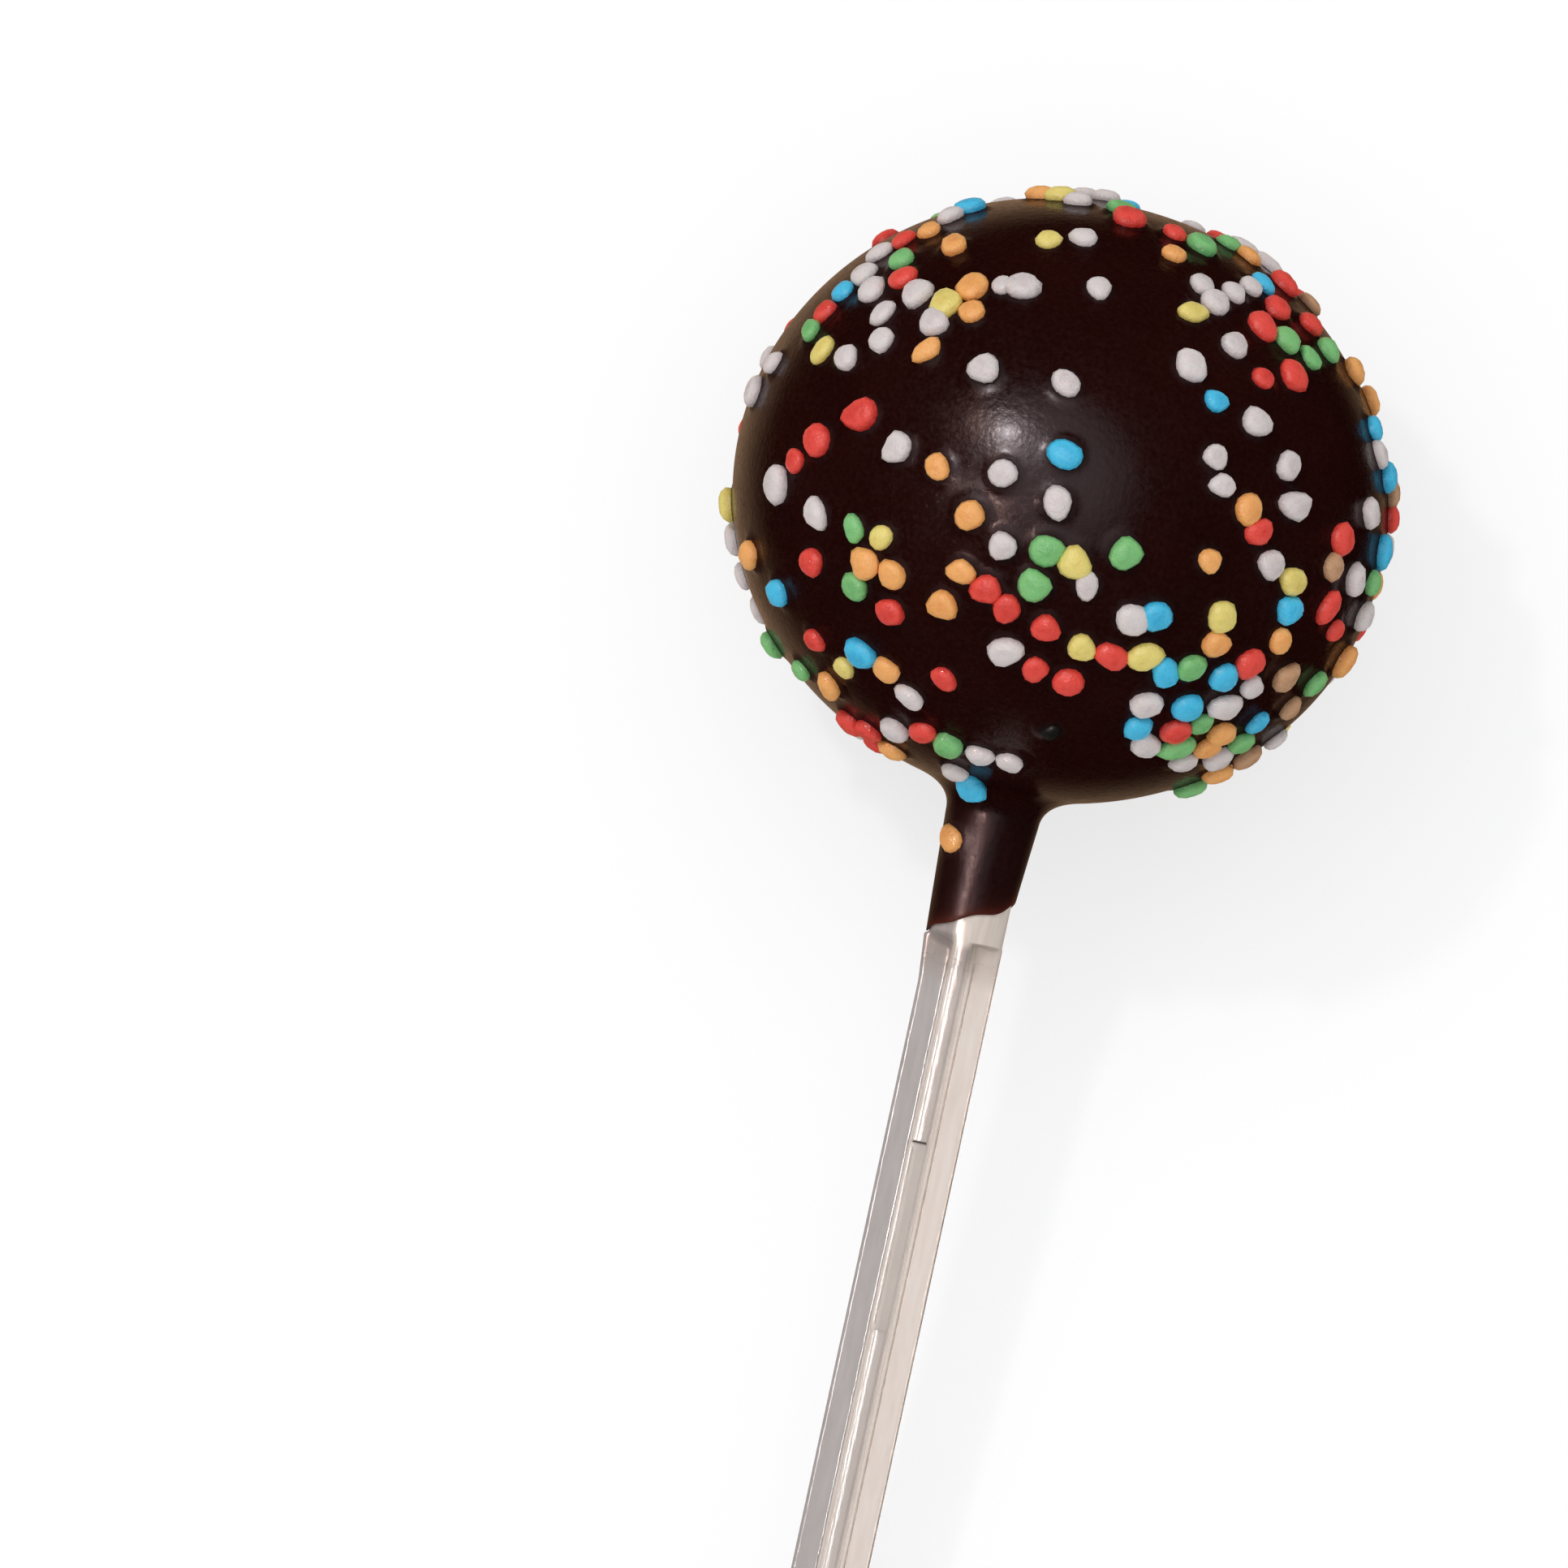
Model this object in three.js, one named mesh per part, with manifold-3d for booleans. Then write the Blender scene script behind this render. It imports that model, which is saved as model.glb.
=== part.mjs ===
// A cake pop lying down: a ball of cake dipped in dark chocolate and strewn with sugar
// sprinkles, on a clear plastic stick with a plus-shaped section. Millimetres, +Z up.
// The origin is on the small flat spot that the ball rests on, straight below the
// ball's centre. The stick runs towards -Y and its far end rests on the same surface.
//
// Everything is first worked out in the pop's own frame: centre of the ball at 0,
// X across the pop, Y along the stick towards the top of the ball, Z towards the
// shown side. A group then lays the whole pop down.

import * as THREE from "three";
import { mergeVertices } from "three/addons/utils/BufferGeometryUtils.js";
import Module from "manifold-3d";

// The ball: half its width across the stick and half its height along the stick.
const BALL_ACROSS = 20.0;
const BALL_ALONG = 18.4;
const UNEVENNESS = 0.1;

// The chocolate that has run down the stick, with a slanted, slightly ragged rim.
const NECK_RADIUS = 4.9;
const COLLAR_TOP = -19.8;
const COLLAR_TOP_RADIUS = 2.88;
const NECK_BEND = 0.5;
const COLLAR_RIM_RADIUS = 2.5;
const RIM_MIDDLE = -25.95;
const RIM_SLANT = 1.35;
const RIM_RAGGEDNESS = 0.12;
const RIM_ROUNDING = 0.12;

// The stick: a round head inside the ball, then four ribs down to the end. The front and
// the left rib start higher than the shoulder, close under the slanting rim.
const HEAD_TOP = 0.0;
const HEAD_RADIUS = 2.2;
const SOCKET_GAP = 0.1;
const SHOULDER = -27.5;
const FRONT_RIB_TOP = -26.45;
const LEFT_RIB_TOP = -26.65;
const STICK_END = -117.0;
const RIB_REACH = 2.3;
const RIB_THICKNESS = 1.1;
const RIB_TIP_ROUNDING = 0.25;
const RIB_ROOT_ROUNDING = 0.35;
const STICK_ROLL = THREE.MathUtils.degToRad(-4);
const FLARE_WIDTH = 0.25;
const FLARE_LENGTH = 2.8;
const PAD_TOP = -39.9;
const PAD_END = -51.7;
const PAD_WIDTH = 1.25;
const PAD_HEIGHT = 0.2;

// How the pop lies: the depth of the flat spot under the ball, and how far the end
// of the stick is from its own middle line to where it touches down.
const FLAT_DEPTH = 0.5;
const END_DROP = 2.2;
const CENTRE_HEIGHT = BALL_ACROSS - FLAT_DEPTH;
const SLOPE = Math.asin(CENTRE_HEIGHT / Math.hypot(STICK_END, END_DROP))
  - Math.atan2(END_DROP, -STICK_END);

// Sprinkles: mean radius, how much it varies, how much longer the longest are, and how far
// above the chocolate the middle of what shows of one lies. Then, for a sprinkle of radius
// 1, what it stands above the chocolate and where its sides turn in. Then how far the
// places may stray sideways, how far in front of the outline they start to stray backwards
// and how far behind it they may end, as shares of the ball's depth. Then those on the back.
const SPRINKLE_RADIUS = 0.94;
const SPRINKLE_SPREAD = 0.16;
const SPRINKLE_STRETCH = 0.3;
const SMALL_SPRINKLE = 0.7;
const SPRINKLE_MIDDLE = 0.4;
const SPRINKLE_HEIGHT = 0.85;
const SPRINKLE_SHOULDER_REACH = 0.85;
const SPRINKLE_SHOULDER_HEIGHT = 0.5;
const STRAND_JITTER = 0.12;
const OUTLINE_FRONT = 0.4;
const OUTLINE_BACK = 0.25;
const BACK_SPRINKLES = 142;
const BACK_SPACING = 1.9;
const BACK_EDGE = -0.16;
const NECK_CLEARANCE = -0.93;
const FLOOR_CLEARANCE = 0.2;
const SEED = 20261;

// Strands of sprinkles on the shown side. Each runs along the ball's surface from the
// first place to the second (across and up from the ball's centre), and its letters
// are its sprinkles, evenly spaced: white, red, orange, yellow, green, blue, coated with
// a film of chocolate, or dark under a thick one. A small letter is a small sprinkle.
const STRANDS = [
  [-8.9, 16.0, -17.2, 6.9, "BWORWWBRG"],
  [-5.0, 17.6, -1.3, 18.6, "OYWW"],
  [-4.2, 15.2, -2.2, 15.8, "YW"],
  [-2.8, 17.6, -0.2, 17.8, "WG"],
  [0.5, 17.4, 3.4, 17.3, "RR"],
  [-14.1, 10.0, -12.4, 11.1, "WR"],
  [-11.3, 10.4, -9.3, 10.2, "WY"],
  [-8.1, 11.4, -7.7, 10.0, "OO"],
  [-9.9, 8.9, -10.0, 7.2, "WO"],
  [-13.1, 8.8, -12.8, 7.1, "WW"],
  [-14.7, 5.7, -16.2, 5.9, "WY"],
  [-12.7, 12.3, -9.8, 13.7, "GO"],
  [-6.2, 12.0, -5.0, 12.1, "wW"],
  [-0.4, 13.1, -1.2, 6.9, "WW"],
  [-6.4, 6.8, -3.8, 0.8, "WW"],
  [-13.1, 2.5, -10.6, 1.0, "RW"],
  [-15.4, 0.4, -17.2, -2.8, "RRW"],
  [-8.0, 0.3, -5.4, -2.2, "OO"],
  [-0.5, 2.7, -0.3, -0.3, "BW"],
  [-18.8, 4.4, -19.4, 2.6, "WW"],
  [4.6, 18.3, 10.4, 15.8, "WRWWR"],
  [3.5, 16.1, 5.1, 16.9, "OG"],
  [6.5, 17.2, 9.2, 15.5, "GOB"],
  [5.6, 14.7, 5.6, 14.7, "W"],
  [5.5, 12.9, 8.6, 15.2, "YWWW"],
  [10.5, 14.3, 17.0, 9.9, "RRGOO"],
  [9.8, 13.0, 13.2, 11.7, "RGG"],
  [5.9, 9.7, 8.3, 11.5, "WW"],
  [8.0, 7.8, 10.7, 7.0, "bW"],
  [10.5, 9.9, 12.3, 10.4, "RR"],
  [17.6, 8.2, 18.9, 5.5, "BWB"],
  [8.6, 4.5, 9.3, 2.8, "WW"],
  [11.1, 1.9, 12.0, 0.6, "OR"],
  [13.0, 4.8, 13.9, 2.6, "WW"],
  [18.6, 3.1, 18.5, -1.0, "WW"],
  [17.2, 1.2, 17.0, -0.4, "RC"],
  [19.7, 3.2, 19.3, -3.0, "RBGW"],
  [17.2, -3.0, 18.4, -5.7, "RRO"],
  [9.5, -1.8, 13.3, -1.3, "OW"],
  [14.8, -1.8, 14.8, -5.6, "YBO"],
  [11.0, -5.0, 11.0, -6.6, "YO"],
  [4.5, -2.4, 2.6, -4.9, "GW"],
  [-0.3, -3.2, 1.5, -3.7, "GY"],
  [5.8, -6.2, 7.2, -5.7, "WB"],
  [-0.7, -5.5, 0.7, -7.9, "GR"],
  [3.1, -8.6, 4.8, -8.8, "YR"],
  [0.6, -10.5, 2.6, -10.9, "RR"],
  [7.0, -8.3, 8.3, -9.0, "YB"],
  [9.8, -8.3, 13.7, -8.7, "GBW"],
  [13.2, -7.3, 17.4, -7.8, "RCG"],
  [7.6, -11.2, 12.5, -10.1, "WBW"],
  [14.6, -10.7, 16.1, -9.4, "BC"],
  [7.4, -12.7, 9.8, -12.3, "BR"],
  [11.3, -11.5, 13.7, -12.0, "GOG"],
  [8.2, -13.5, 12.0, -12.8, "WGO"],
  [10.7, -14.1, 12.6, -13.3, "WW"],
  [15.5, -11.3, 11.4, -15.3, "WCOG"],
  [-2.9, -3.6, -5.1, -5.6, "WO"],
  [-3.5, -6.3, -2.0, -7.2, "RR"],
  [-5.7, -8.0, -1.5, -9.8, "OW"],
  [-12.1, -4.4, -10.3, -4.6, "GY"],
  [-11.0, -6.4, -9.2, -6.8, "OO"],
  [-11.3, -7.9, -8.9, -8.9, "GR"],
  [-14.5, -4.0, -14.1, -7.0, "WR"],
  [-19.8, -4.5, -15.5, -12.3, "YWWWG"],
  [-17.7, -7.1, -15.8, -9.2, "OB"],
  [-13.0, -11.6, -10.8, -12.9, "RY"],
  [-10.0, -11.8, -8.4, -12.4, "BO"],
  [-13.2, -13.5, -11.4, -14.0, "GO"],
  [-9.7, -15.8, -5.4, -15.7, "RRWR"],
  [-8.0, -16.9, -6.8, -16.9, "RO"],
  [-6.6, -13.8, -4.8, -12.3, "WR"],
  [-3.6, -16.1, 0.2, -16.4, "GWW"],
  [-2.9, -17.3, -2.9, -17.3, "W"],
  [2.4, -14.1, 2.4, -14.1, "d"],
  [12.3, 14.8, 12.3, 14.8, "C"],
  [19.6, 4.6, 19.6, 4.6, "C"],
];

// Two sprinkles where the ball runs into the collar: height, distance from the middle
// line, turn about it from the shown side, lean towards the end of the stick, letter.
const COLLAR_SPRINKLES = [
  [-18.12, 5.6, -17, 30, "B"],
  [-21.5, 2.55, -50, 0, "O"],
];

// Bare places on the back and just behind the outline: a direction from the ball's centre in
// the ball's own proportions, and how far the place reaches.
const BARE_PLACES = [
  [-0.95, -0.25, -0.2, 3.0],
  [0.45, -0.9, -0.1, 5.0],
  [0.55, 0.25, -0.8, 4.0],
  [-0.6, 0.5, -0.6, 3.0],
  [-0.4, -0.6, -0.7, 3.5],
];

// How many sides the round shapes get.
const BALL_SIDES = 28;
const BALL_RINGS = 15;
const NECK_RINGS = 4;
const SPRINKLE_SIDES = 5;
const STICK_SIDES = 24;
const CORNER_STEPS = 3;

// Points nearer than this to a flat face or straight edge without them are needless.
const NEEDLESS_POINTS = 0.003;

const wasm = await Module();
wasm.setup();

function solidFrom(geometry) {
  const bare = geometry.clone();
  bare.deleteAttribute("normal");
  bare.deleteAttribute("uv");
  const merged = mergeVertices(bare);
  return new wasm.Manifold(new wasm.Mesh({
    numProp: 3,
    vertProperties: new Float32Array(merged.attributes.position.array),
    triVerts: new Uint32Array(merged.index.array),
  }));
}

// The finished piece: flat where it touches the surface the pop lies on, and without
// the needless points that joining leaves on flat faces.
function finishedGeometry(solid) {
  const mesh = solid.subtract(belowFloor()).asOriginal().simplify(NEEDLESS_POINTS).getMesh();
  const geometry = new THREE.BufferGeometry();
  geometry.setAttribute("position", new THREE.BufferAttribute(mesh.vertProperties, 3));
  geometry.setIndex(new THREE.BufferAttribute(mesh.triVerts, 1));
  geometry.computeVertexNormals();
  return geometry;
}

// Seeded draws from 0 to 1, the same run every time.
let drawState = SEED;
function draw() {
  drawState = (drawState * 1664525 + 1013904223) % 4294967296;
  return drawState / 4294967296;
}

// A hand-dipped ball isn't quite even: its points lie a little further out or in.
function uneven(point) {
  const u = new THREE.Vector3(point.x / BALL_ACROSS, point.y / BALL_ALONG, point.z / BALL_ACROSS);
  u.normalize();
  const wave = Math.sin(3.1 * u.x + 2.2 * u.z + 1.3) * Math.sin(2.7 * u.y - 1.9 * u.z + 0.4)
    + 0.5 * Math.sin(5.3 * u.z + 4.1 * u.x - 1.1 * u.y);
  return point.multiplyScalar(1 + (UNEVENNESS / BALL_ACROSS) * wave);
}

// Where a direction in the ball's own proportions meets its surface.
function ballPoint(direction) {
  const scale = new THREE.Vector3(BALL_ACROSS, BALL_ALONG, BALL_ACROSS);
  return uneven(direction.clone().multiply(scale));
}

function ballNormal(direction) {
  const scale = new THREE.Vector3(BALL_ACROSS, BALL_ALONG, BALL_ACROSS);
  return direction.clone().divide(scale).normalize();
}

// The direction of a sprinkle whose middle shows at a place on the shown face. One past
// the outline lands on it.
function faceDirection(across, up) {
  const x = across / (BALL_ACROSS + SPRINKLE_MIDDLE);
  const y = up / (BALL_ALONG + SPRINKLE_MIDDLE);
  return new THREE.Vector3(x, y, Math.sqrt(Math.max(0, 1 - x * x - y * y))).normalize();
}

// The outline from the middle of the rim to the top of the ball: the rounded rim, the
// collar, the hollow curve out of it and most of an ellipse.
function coatingProfile() {
  const neckTurn = Math.PI - Math.asin(NECK_RADIUS / BALL_ACROSS);
  const ball = Array.from({ length: BALL_RINGS + 1 }, (_, i) => {
    const turn = (neckTurn * i) / BALL_RINGS;
    return new THREE.Vector2(BALL_ACROSS * Math.sin(turn), BALL_ALONG * Math.cos(turn));
  });
  ball[0].x = 0;
  const neckStart = ball[BALL_RINGS];
  const bend = new THREE.Vector2(COLLAR_TOP_RADIUS, neckStart.y - NECK_BEND);
  const collarTop = new THREE.Vector2(COLLAR_TOP_RADIUS, COLLAR_TOP);
  const neck = new THREE.QuadraticBezierCurve(neckStart, bend, collarTop).getPoints(NECK_RINGS);
  const rim = [
    new THREE.Vector2(COLLAR_RIM_RADIUS, RIM_MIDDLE + RIM_ROUNDING),
    new THREE.Vector2(COLLAR_RIM_RADIUS - RIM_ROUNDING, RIM_MIDDLE),
    new THREE.Vector2(0, RIM_MIDDLE),
  ];
  return [...ball, ...neck.slice(1), ...rim].reverse();
}

// How far the rim lies below or above its middle height: higher on the right than on
// the left, steeper at both sides than in front, and a little ragged.
function rimShift(x, z) {
  const side = x / COLLAR_RIM_RADIUS;
  const reach = Math.hypot(x, z) / COLLAR_RIM_RADIUS;
  const slant = RIM_SLANT * (0.6 * side + 0.4 * side ** 3);
  return slant + RIM_RAGGEDNESS * Math.sin(5 * Math.atan2(x, z) + 1) * reach ** 2;
}

function chocolateSolid() {
  const geometry = new THREE.LatheGeometry(coatingProfile(), BALL_SIDES);
  const positions = geometry.attributes.position;
  const point = new THREE.Vector3();
  for (let i = 0; i < positions.count; i += 1) {
    point.fromBufferAttribute(positions, i);
    const down = Math.max(0, (COLLAR_TOP - point.y) / (COLLAR_TOP - RIM_MIDDLE));
    point.y += down * rimShift(point.x, point.z);
    uneven(point);
    positions.setXYZ(i, point.x, point.y, point.z);
  }
  return solidFrom(geometry);
}

// One sprinkle's own numbers. They are drawn in this order for every sprinkle.
function sprinkleAt(point, normal, letter) {
  const small = letter === letter.toLowerCase() ? SMALL_SPRINKLE : 1;
  const radius = SPRINKLE_RADIUS * small * (1 + SPRINKLE_SPREAD * (2 * draw() - 1));
  const stretch = 1 + SPRINKLE_STRETCH * draw() ** 3;
  const turn = 2 * Math.PI * draw();
  return { point, normal, radius, stretch, turn };
}

// Along a strand a sprinkle strays a little sideways. Near the outline it also strays
// backwards, more and more, so that sprinkles cover the belt on both sides of it.
function strandSprinkles() {
  return STRANDS.flatMap(([fromAcross, fromUp, toAcross, toUp, letters]) => {
    const from = faceDirection(fromAcross, fromUp);
    const to = faceDirection(toAcross, toUp);
    return [...letters].map((letter, i) => {
      const share = i / Math.max(1, letters.length - 1);
      const direction = from.clone().lerp(to, share);
      const nearness = Math.max(0, 1 - direction.z / OUTLINE_FRONT);
      direction.x += (STRAND_JITTER / BALL_ACROSS) * (2 * draw() - 1);
      direction.y += (STRAND_JITTER / BALL_ACROSS) * (2 * draw() - 1);
      direction.z -= nearness * (direction.z + OUTLINE_BACK) * draw();
      direction.normalize();
      return sprinkleAt(ballPoint(direction), ballNormal(direction), letter);
    });
  });
}

function collarSprinkles() {
  return COLLAR_SPRINKLES.map(([height, radius, turnDeg, leanDeg, letter]) => {
    const turn = THREE.MathUtils.degToRad(turnDeg);
    const lean = THREE.MathUtils.degToRad(leanDeg);
    const out = new THREE.Vector3(Math.sin(turn), 0, Math.cos(turn));
    const normal = out.clone().multiplyScalar(Math.cos(lean));
    normal.y = -Math.sin(lean);
    const point = uneven(out.multiplyScalar(radius).setY(height));
    return sprinkleAt(point, normal, letter);
  });
}

function isBare(point) {
  return BARE_PLACES.some(([x, y, z, radius]) => {
    const middle = ballPoint(new THREE.Vector3(x, y, z).normalize());
    return middle.distanceTo(point) < radius;
  });
}

// The back has as many for its size: seeded places, none closer than the spacing to
// another sprinkle.
function backSprinkles(others) {
  const points = others.map((other) => other.point);
  const sprinkles = [];
  while (sprinkles.length < BACK_SPRINKLES) {
    const y = 2 * draw() - 1;
    const turn = 2 * Math.PI * draw();
    const level = Math.sqrt(1 - y * y);
    const direction = new THREE.Vector3(level * Math.sin(turn), y, level * Math.cos(turn));
    const point = ballPoint(direction);
    const crowded = points.some((other) => other.distanceTo(point) < BACK_SPACING);
    const onBack = direction.z < BACK_EDGE && direction.y > NECK_CLEARANCE;
    if (onBack && !crowded && !isBare(point)) {
      points.push(point);
      sprinkles.push(sprinkleAt(point, ballNormal(direction), "W"));
    }
  }
  return sprinkles;
}

// A sprinkle is a rough many-sided lump, sunk in the chocolate: straight sides up to a
// shoulder, then a low point. Its axis starts along Y and ends along the normal.
function sprinkleSolid({ point, normal, radius, stretch, turn }) {
  const lump = new THREE.LatheGeometry([
    new THREE.Vector2(0, -SPRINKLE_HEIGHT),
    new THREE.Vector2(1, -SPRINKLE_HEIGHT),
    new THREE.Vector2(SPRINKLE_SHOULDER_REACH, SPRINKLE_SHOULDER_HEIGHT),
    new THREE.Vector2(0, SPRINKLE_HEIGHT),
  ], SPRINKLE_SIDES);
  lump.scale(radius * stretch, radius, radius / Math.sqrt(stretch));
  lump.rotateY(turn);
  lump.applyQuaternion(new THREE.Quaternion().setFromUnitVectors(THREE.Object3D.DEFAULT_UP, normal));
  lump.translate(point.x, point.y, point.z);
  return solidFrom(lump);
}

// The pop lies on its unseen side, the stick sloping down to its far end.
const lying = new THREE.Group();
lying.rotation.x = SLOPE;
lying.position.z = CENTRE_HEIGHT;
lying.updateMatrixWorld();

// How far a sprinkle's outermost point is above the surface the pop lies on.
function heightOf({ point, normal, radius }) {
  const outermost = point.clone().addScaledVector(normal, radius * SPRINKLE_HEIGHT);
  return outermost.applyMatrix4(lying.matrixWorld).z;
}

// All that is below the surface the pop lies on, in the pop's own frame.
function belowFloor() {
  const size = 4 * Math.abs(STICK_END);
  const block = new THREE.BoxGeometry(size, size, size);
  block.translate(0, 0, -size / 2);
  block.applyMatrix4(lying.matrixWorld.clone().invert());
  return solidFrom(block);
}

function socketSolid() {
  const top = HEAD_TOP + SOCKET_GAP;
  const length = top - RIM_MIDDLE + 3 * RIM_SLANT;
  const radius = (HEAD_RADIUS + SOCKET_GAP) / Math.cos(Math.PI / STICK_SIDES);
  const socket = new THREE.CylinderGeometry(radius, radius, length, STICK_SIDES);
  socket.translate(0, top - length / 2, 0);
  return solidFrom(socket);
}

function coatingGeometry() {
  const front = [...strandSprinkles(), ...collarSprinkles()];
  const sprinkles = [...front, ...backSprinkles(front)];
  const shown = sprinkles.filter((sprinkle) => heightOf(sprinkle) > FLOOR_CLEARANCE);
  const fused = shown.reduce((solid, one) => solid.add(sprinkleSolid(one)), chocolateSolid());
  return finishedGeometry(fused.subtract(socketSolid()));
}

// The plus-shaped section: four ribs with rounded tips and rounded roots between them.
function plusShape() {
  const half = RIB_THICKNESS / 2;
  const tip = RIB_TIP_ROUNDING;
  const root = RIB_ROOT_ROUNDING;
  const shape = new THREE.Shape();
  for (let i = 0; i < 4; i += 1) {
    const turn = (i * Math.PI) / 2;
    const place = (x, y) => new THREE.Vector2(x, y).rotateAround(new THREE.Vector2(), turn);
    const tipLow = place(RIB_REACH - tip, tip - half);
    const tipHigh = place(RIB_REACH - tip, half - tip);
    const rootCentre = place(half + root, half + root);
    shape.absarc(tipLow.x, tipLow.y, tip, turn - Math.PI / 2, turn, false);
    shape.absarc(tipHigh.x, tipHigh.y, tip, turn, turn + Math.PI / 2, false);
    shape.absarc(rootCentre.x, rootCentre.y, root, turn - Math.PI / 2, turn - Math.PI, true);
  }
  return shape;
}

function ribsGeometry(top, end) {
  const ribs = new THREE.ExtrudeGeometry(plusShape(), {
    depth: top - end,
    curveSegments: CORNER_STEPS,
    bevelEnabled: false,
  });
  ribs.rotateX(Math.PI / 2);
  return ribs.translate(0, top, 0);
}

// The front rib alone, from its own top to just below the shoulder.
function frontRibSolid() {
  const end = SHOULDER - RIB_THICKNESS / 2;
  const front = new THREE.BoxGeometry(RIB_THICKNESS, 4 * RIB_REACH, RIB_REACH);
  front.translate(0, end, RIB_REACH / 2);
  return solidFrom(ribsGeometry(FRONT_RIB_TOP, end)).intersect(solidFrom(front));
}

// The round head reaches a little into the ribs, so that the two join.
function headGeometry() {
  const length = HEAD_TOP - SHOULDER + RIB_THICKNESS / 2;
  const head = new THREE.CylinderGeometry(HEAD_RADIUS, HEAD_RADIUS, length, STICK_SIDES);
  return head.translate(0, HEAD_TOP - length / 2, 0);
}

// The left rib starts along the rim's slant, and is a little wider at its top.
function flareGeometry() {
  const rootX = -RIB_REACH / 2;
  const flare = new THREE.Shape([
    new THREE.Vector2(rootX, LEFT_RIB_TOP),
    new THREE.Vector2(-RIB_REACH - FLARE_WIDTH, SHOULDER),
    new THREE.Vector2(-RIB_REACH + RIB_TIP_ROUNDING, SHOULDER - FLARE_LENGTH),
    new THREE.Vector2(rootX, SHOULDER - FLARE_LENGTH),
  ]);
  const thickness = RIB_THICKNESS - RIB_TIP_ROUNDING;
  const geometry = new THREE.ExtrudeGeometry(flare, { depth: thickness, bevelEnabled: false });
  return geometry.translate(0, 0, -thickness / 2);
}

// A long low pad with round ends on the front rib.
function padGeometry() {
  const half = PAD_WIDTH / 2;
  const pad = new THREE.Shape();
  pad.absarc(0, PAD_TOP - half, half, 0, Math.PI, false);
  pad.absarc(0, PAD_END + half, half, Math.PI, 2 * Math.PI, false);
  const geometry = new THREE.ExtrudeGeometry(pad, {
    depth: PAD_HEIGHT + RIB_THICKNESS,
    curveSegments: 2 * CORNER_STEPS,
    bevelEnabled: false,
  });
  return geometry.translate(0, 0, RIB_REACH - RIB_THICKNESS);
}

function stickGeometry() {
  const pieces = [headGeometry(), ribsGeometry(SHOULDER, STICK_END), flareGeometry(), padGeometry()];
  const solids = [...pieces.map(solidFrom), frontRibSolid()];
  const joined = solids.reduce((solid, one) => solid.add(one));
  return finishedGeometry(joined.rotate([0, THREE.MathUtils.radToDeg(STICK_ROLL), 0]));
}

const chocolate = new THREE.MeshStandardMaterial({
  color: 0x1f0d09,
  roughness: 0.35,
  metalness: 0,
});
const clearPlastic = new THREE.MeshStandardMaterial({
  color: 0xd6ceca,
  roughness: 0.15,
  metalness: 0,
  transparent: true,
  opacity: 0.6,
});

const coating = new THREE.Mesh(coatingGeometry(), chocolate);
coating.name = "coating";
const stick = new THREE.Mesh(stickGeometry(), clearPlastic);
stick.name = "stick";
lying.add(coating, stick);

const cakePop = new THREE.Group();
cakePop.add(lying);

export default cakePop;
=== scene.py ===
import math

import bpy
import numpy as np
from mathutils import Matrix


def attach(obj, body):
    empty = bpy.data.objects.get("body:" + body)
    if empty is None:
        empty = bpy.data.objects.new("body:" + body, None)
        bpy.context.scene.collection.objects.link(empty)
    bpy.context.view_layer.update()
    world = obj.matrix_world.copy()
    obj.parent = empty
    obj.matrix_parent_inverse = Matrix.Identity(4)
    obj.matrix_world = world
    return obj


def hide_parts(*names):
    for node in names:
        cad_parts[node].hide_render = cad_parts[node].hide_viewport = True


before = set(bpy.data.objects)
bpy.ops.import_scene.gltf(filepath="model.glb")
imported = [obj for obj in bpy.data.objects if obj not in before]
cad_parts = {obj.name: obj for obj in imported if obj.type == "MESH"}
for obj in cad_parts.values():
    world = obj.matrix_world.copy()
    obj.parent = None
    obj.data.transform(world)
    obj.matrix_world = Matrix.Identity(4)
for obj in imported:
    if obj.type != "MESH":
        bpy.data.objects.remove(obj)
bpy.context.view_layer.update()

# A cake pop lying down. Shapes are worked out in millimetres in the pop's own frame: centre
# of the ball at 0, X across, Y along the stick towards the top of the ball, Z towards the
# shown side. lay_down() then puts them where the solids lie, in metres.
MM = 0.001

# The ball: half its width across the stick, half its height along it, and how uneven it is.
BALL_ACROSS = 20.0
BALL_ALONG = 18.4
BALL_AXES = np.array([BALL_ACROSS, BALL_ALONG, BALL_ACROSS])
UNEVENNESS = 0.1

# The chocolate that has run down the stick: it leaves the ball at the neck and ends at the rim,
# which slants, more gently in front than at both sides. The stick's head sits in the socket.
NECK_RADIUS = 4.9
COLLAR_TOP = -19.8
COLLAR_TOP_RADIUS = 2.88
NECK_BEND = 0.5
COLLAR_RIM_RADIUS = 2.5
RIM_MIDDLE = -25.95
RIM_SLANT = 1.35
SLANT_IN_FRONT = 0.6
RIM_RAGGEDNESS = 0.12
SOCKET_RADIUS = 2.32
SOCKET_TOP = 0.2
SOCKET_ROWS = (-22.0, -12.0, SOCKET_TOP)

# The stick: a round head in the ball, then four ribs from the shoulder. The front and the left
# rib also stand out from the head as low ridges, close up to the slanting rim.
HEAD_TOP = 0.0
HEAD_RADIUS = 2.27
SHOULDER = -27.5
SHOULDER_LENGTH = 0.18
LEFT_SHOULDER_LENGTH = 1.1
RIDGES_BELOW_RIM = 0.3
LOWEST_RIDGE_TOP = -27.36
STICK_END = -117.0
RIB_REACH = 2.3
RIB_THICKNESS = 1.1
RIB_TIP_ROUNDING = 0.25
RIB_ROOT_ROUNDING = 0.35
STICK_ROLL = math.radians(-4)
FLARE_WIDTH = 0.25
FLARE_LENGTH = 2.8
PAD_TOP = -39.9
PAD_END = -51.7
PAD_WIDTH = 1.25
PAD_HEIGHT = 0.2
PAD_STEP = 0.12
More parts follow.
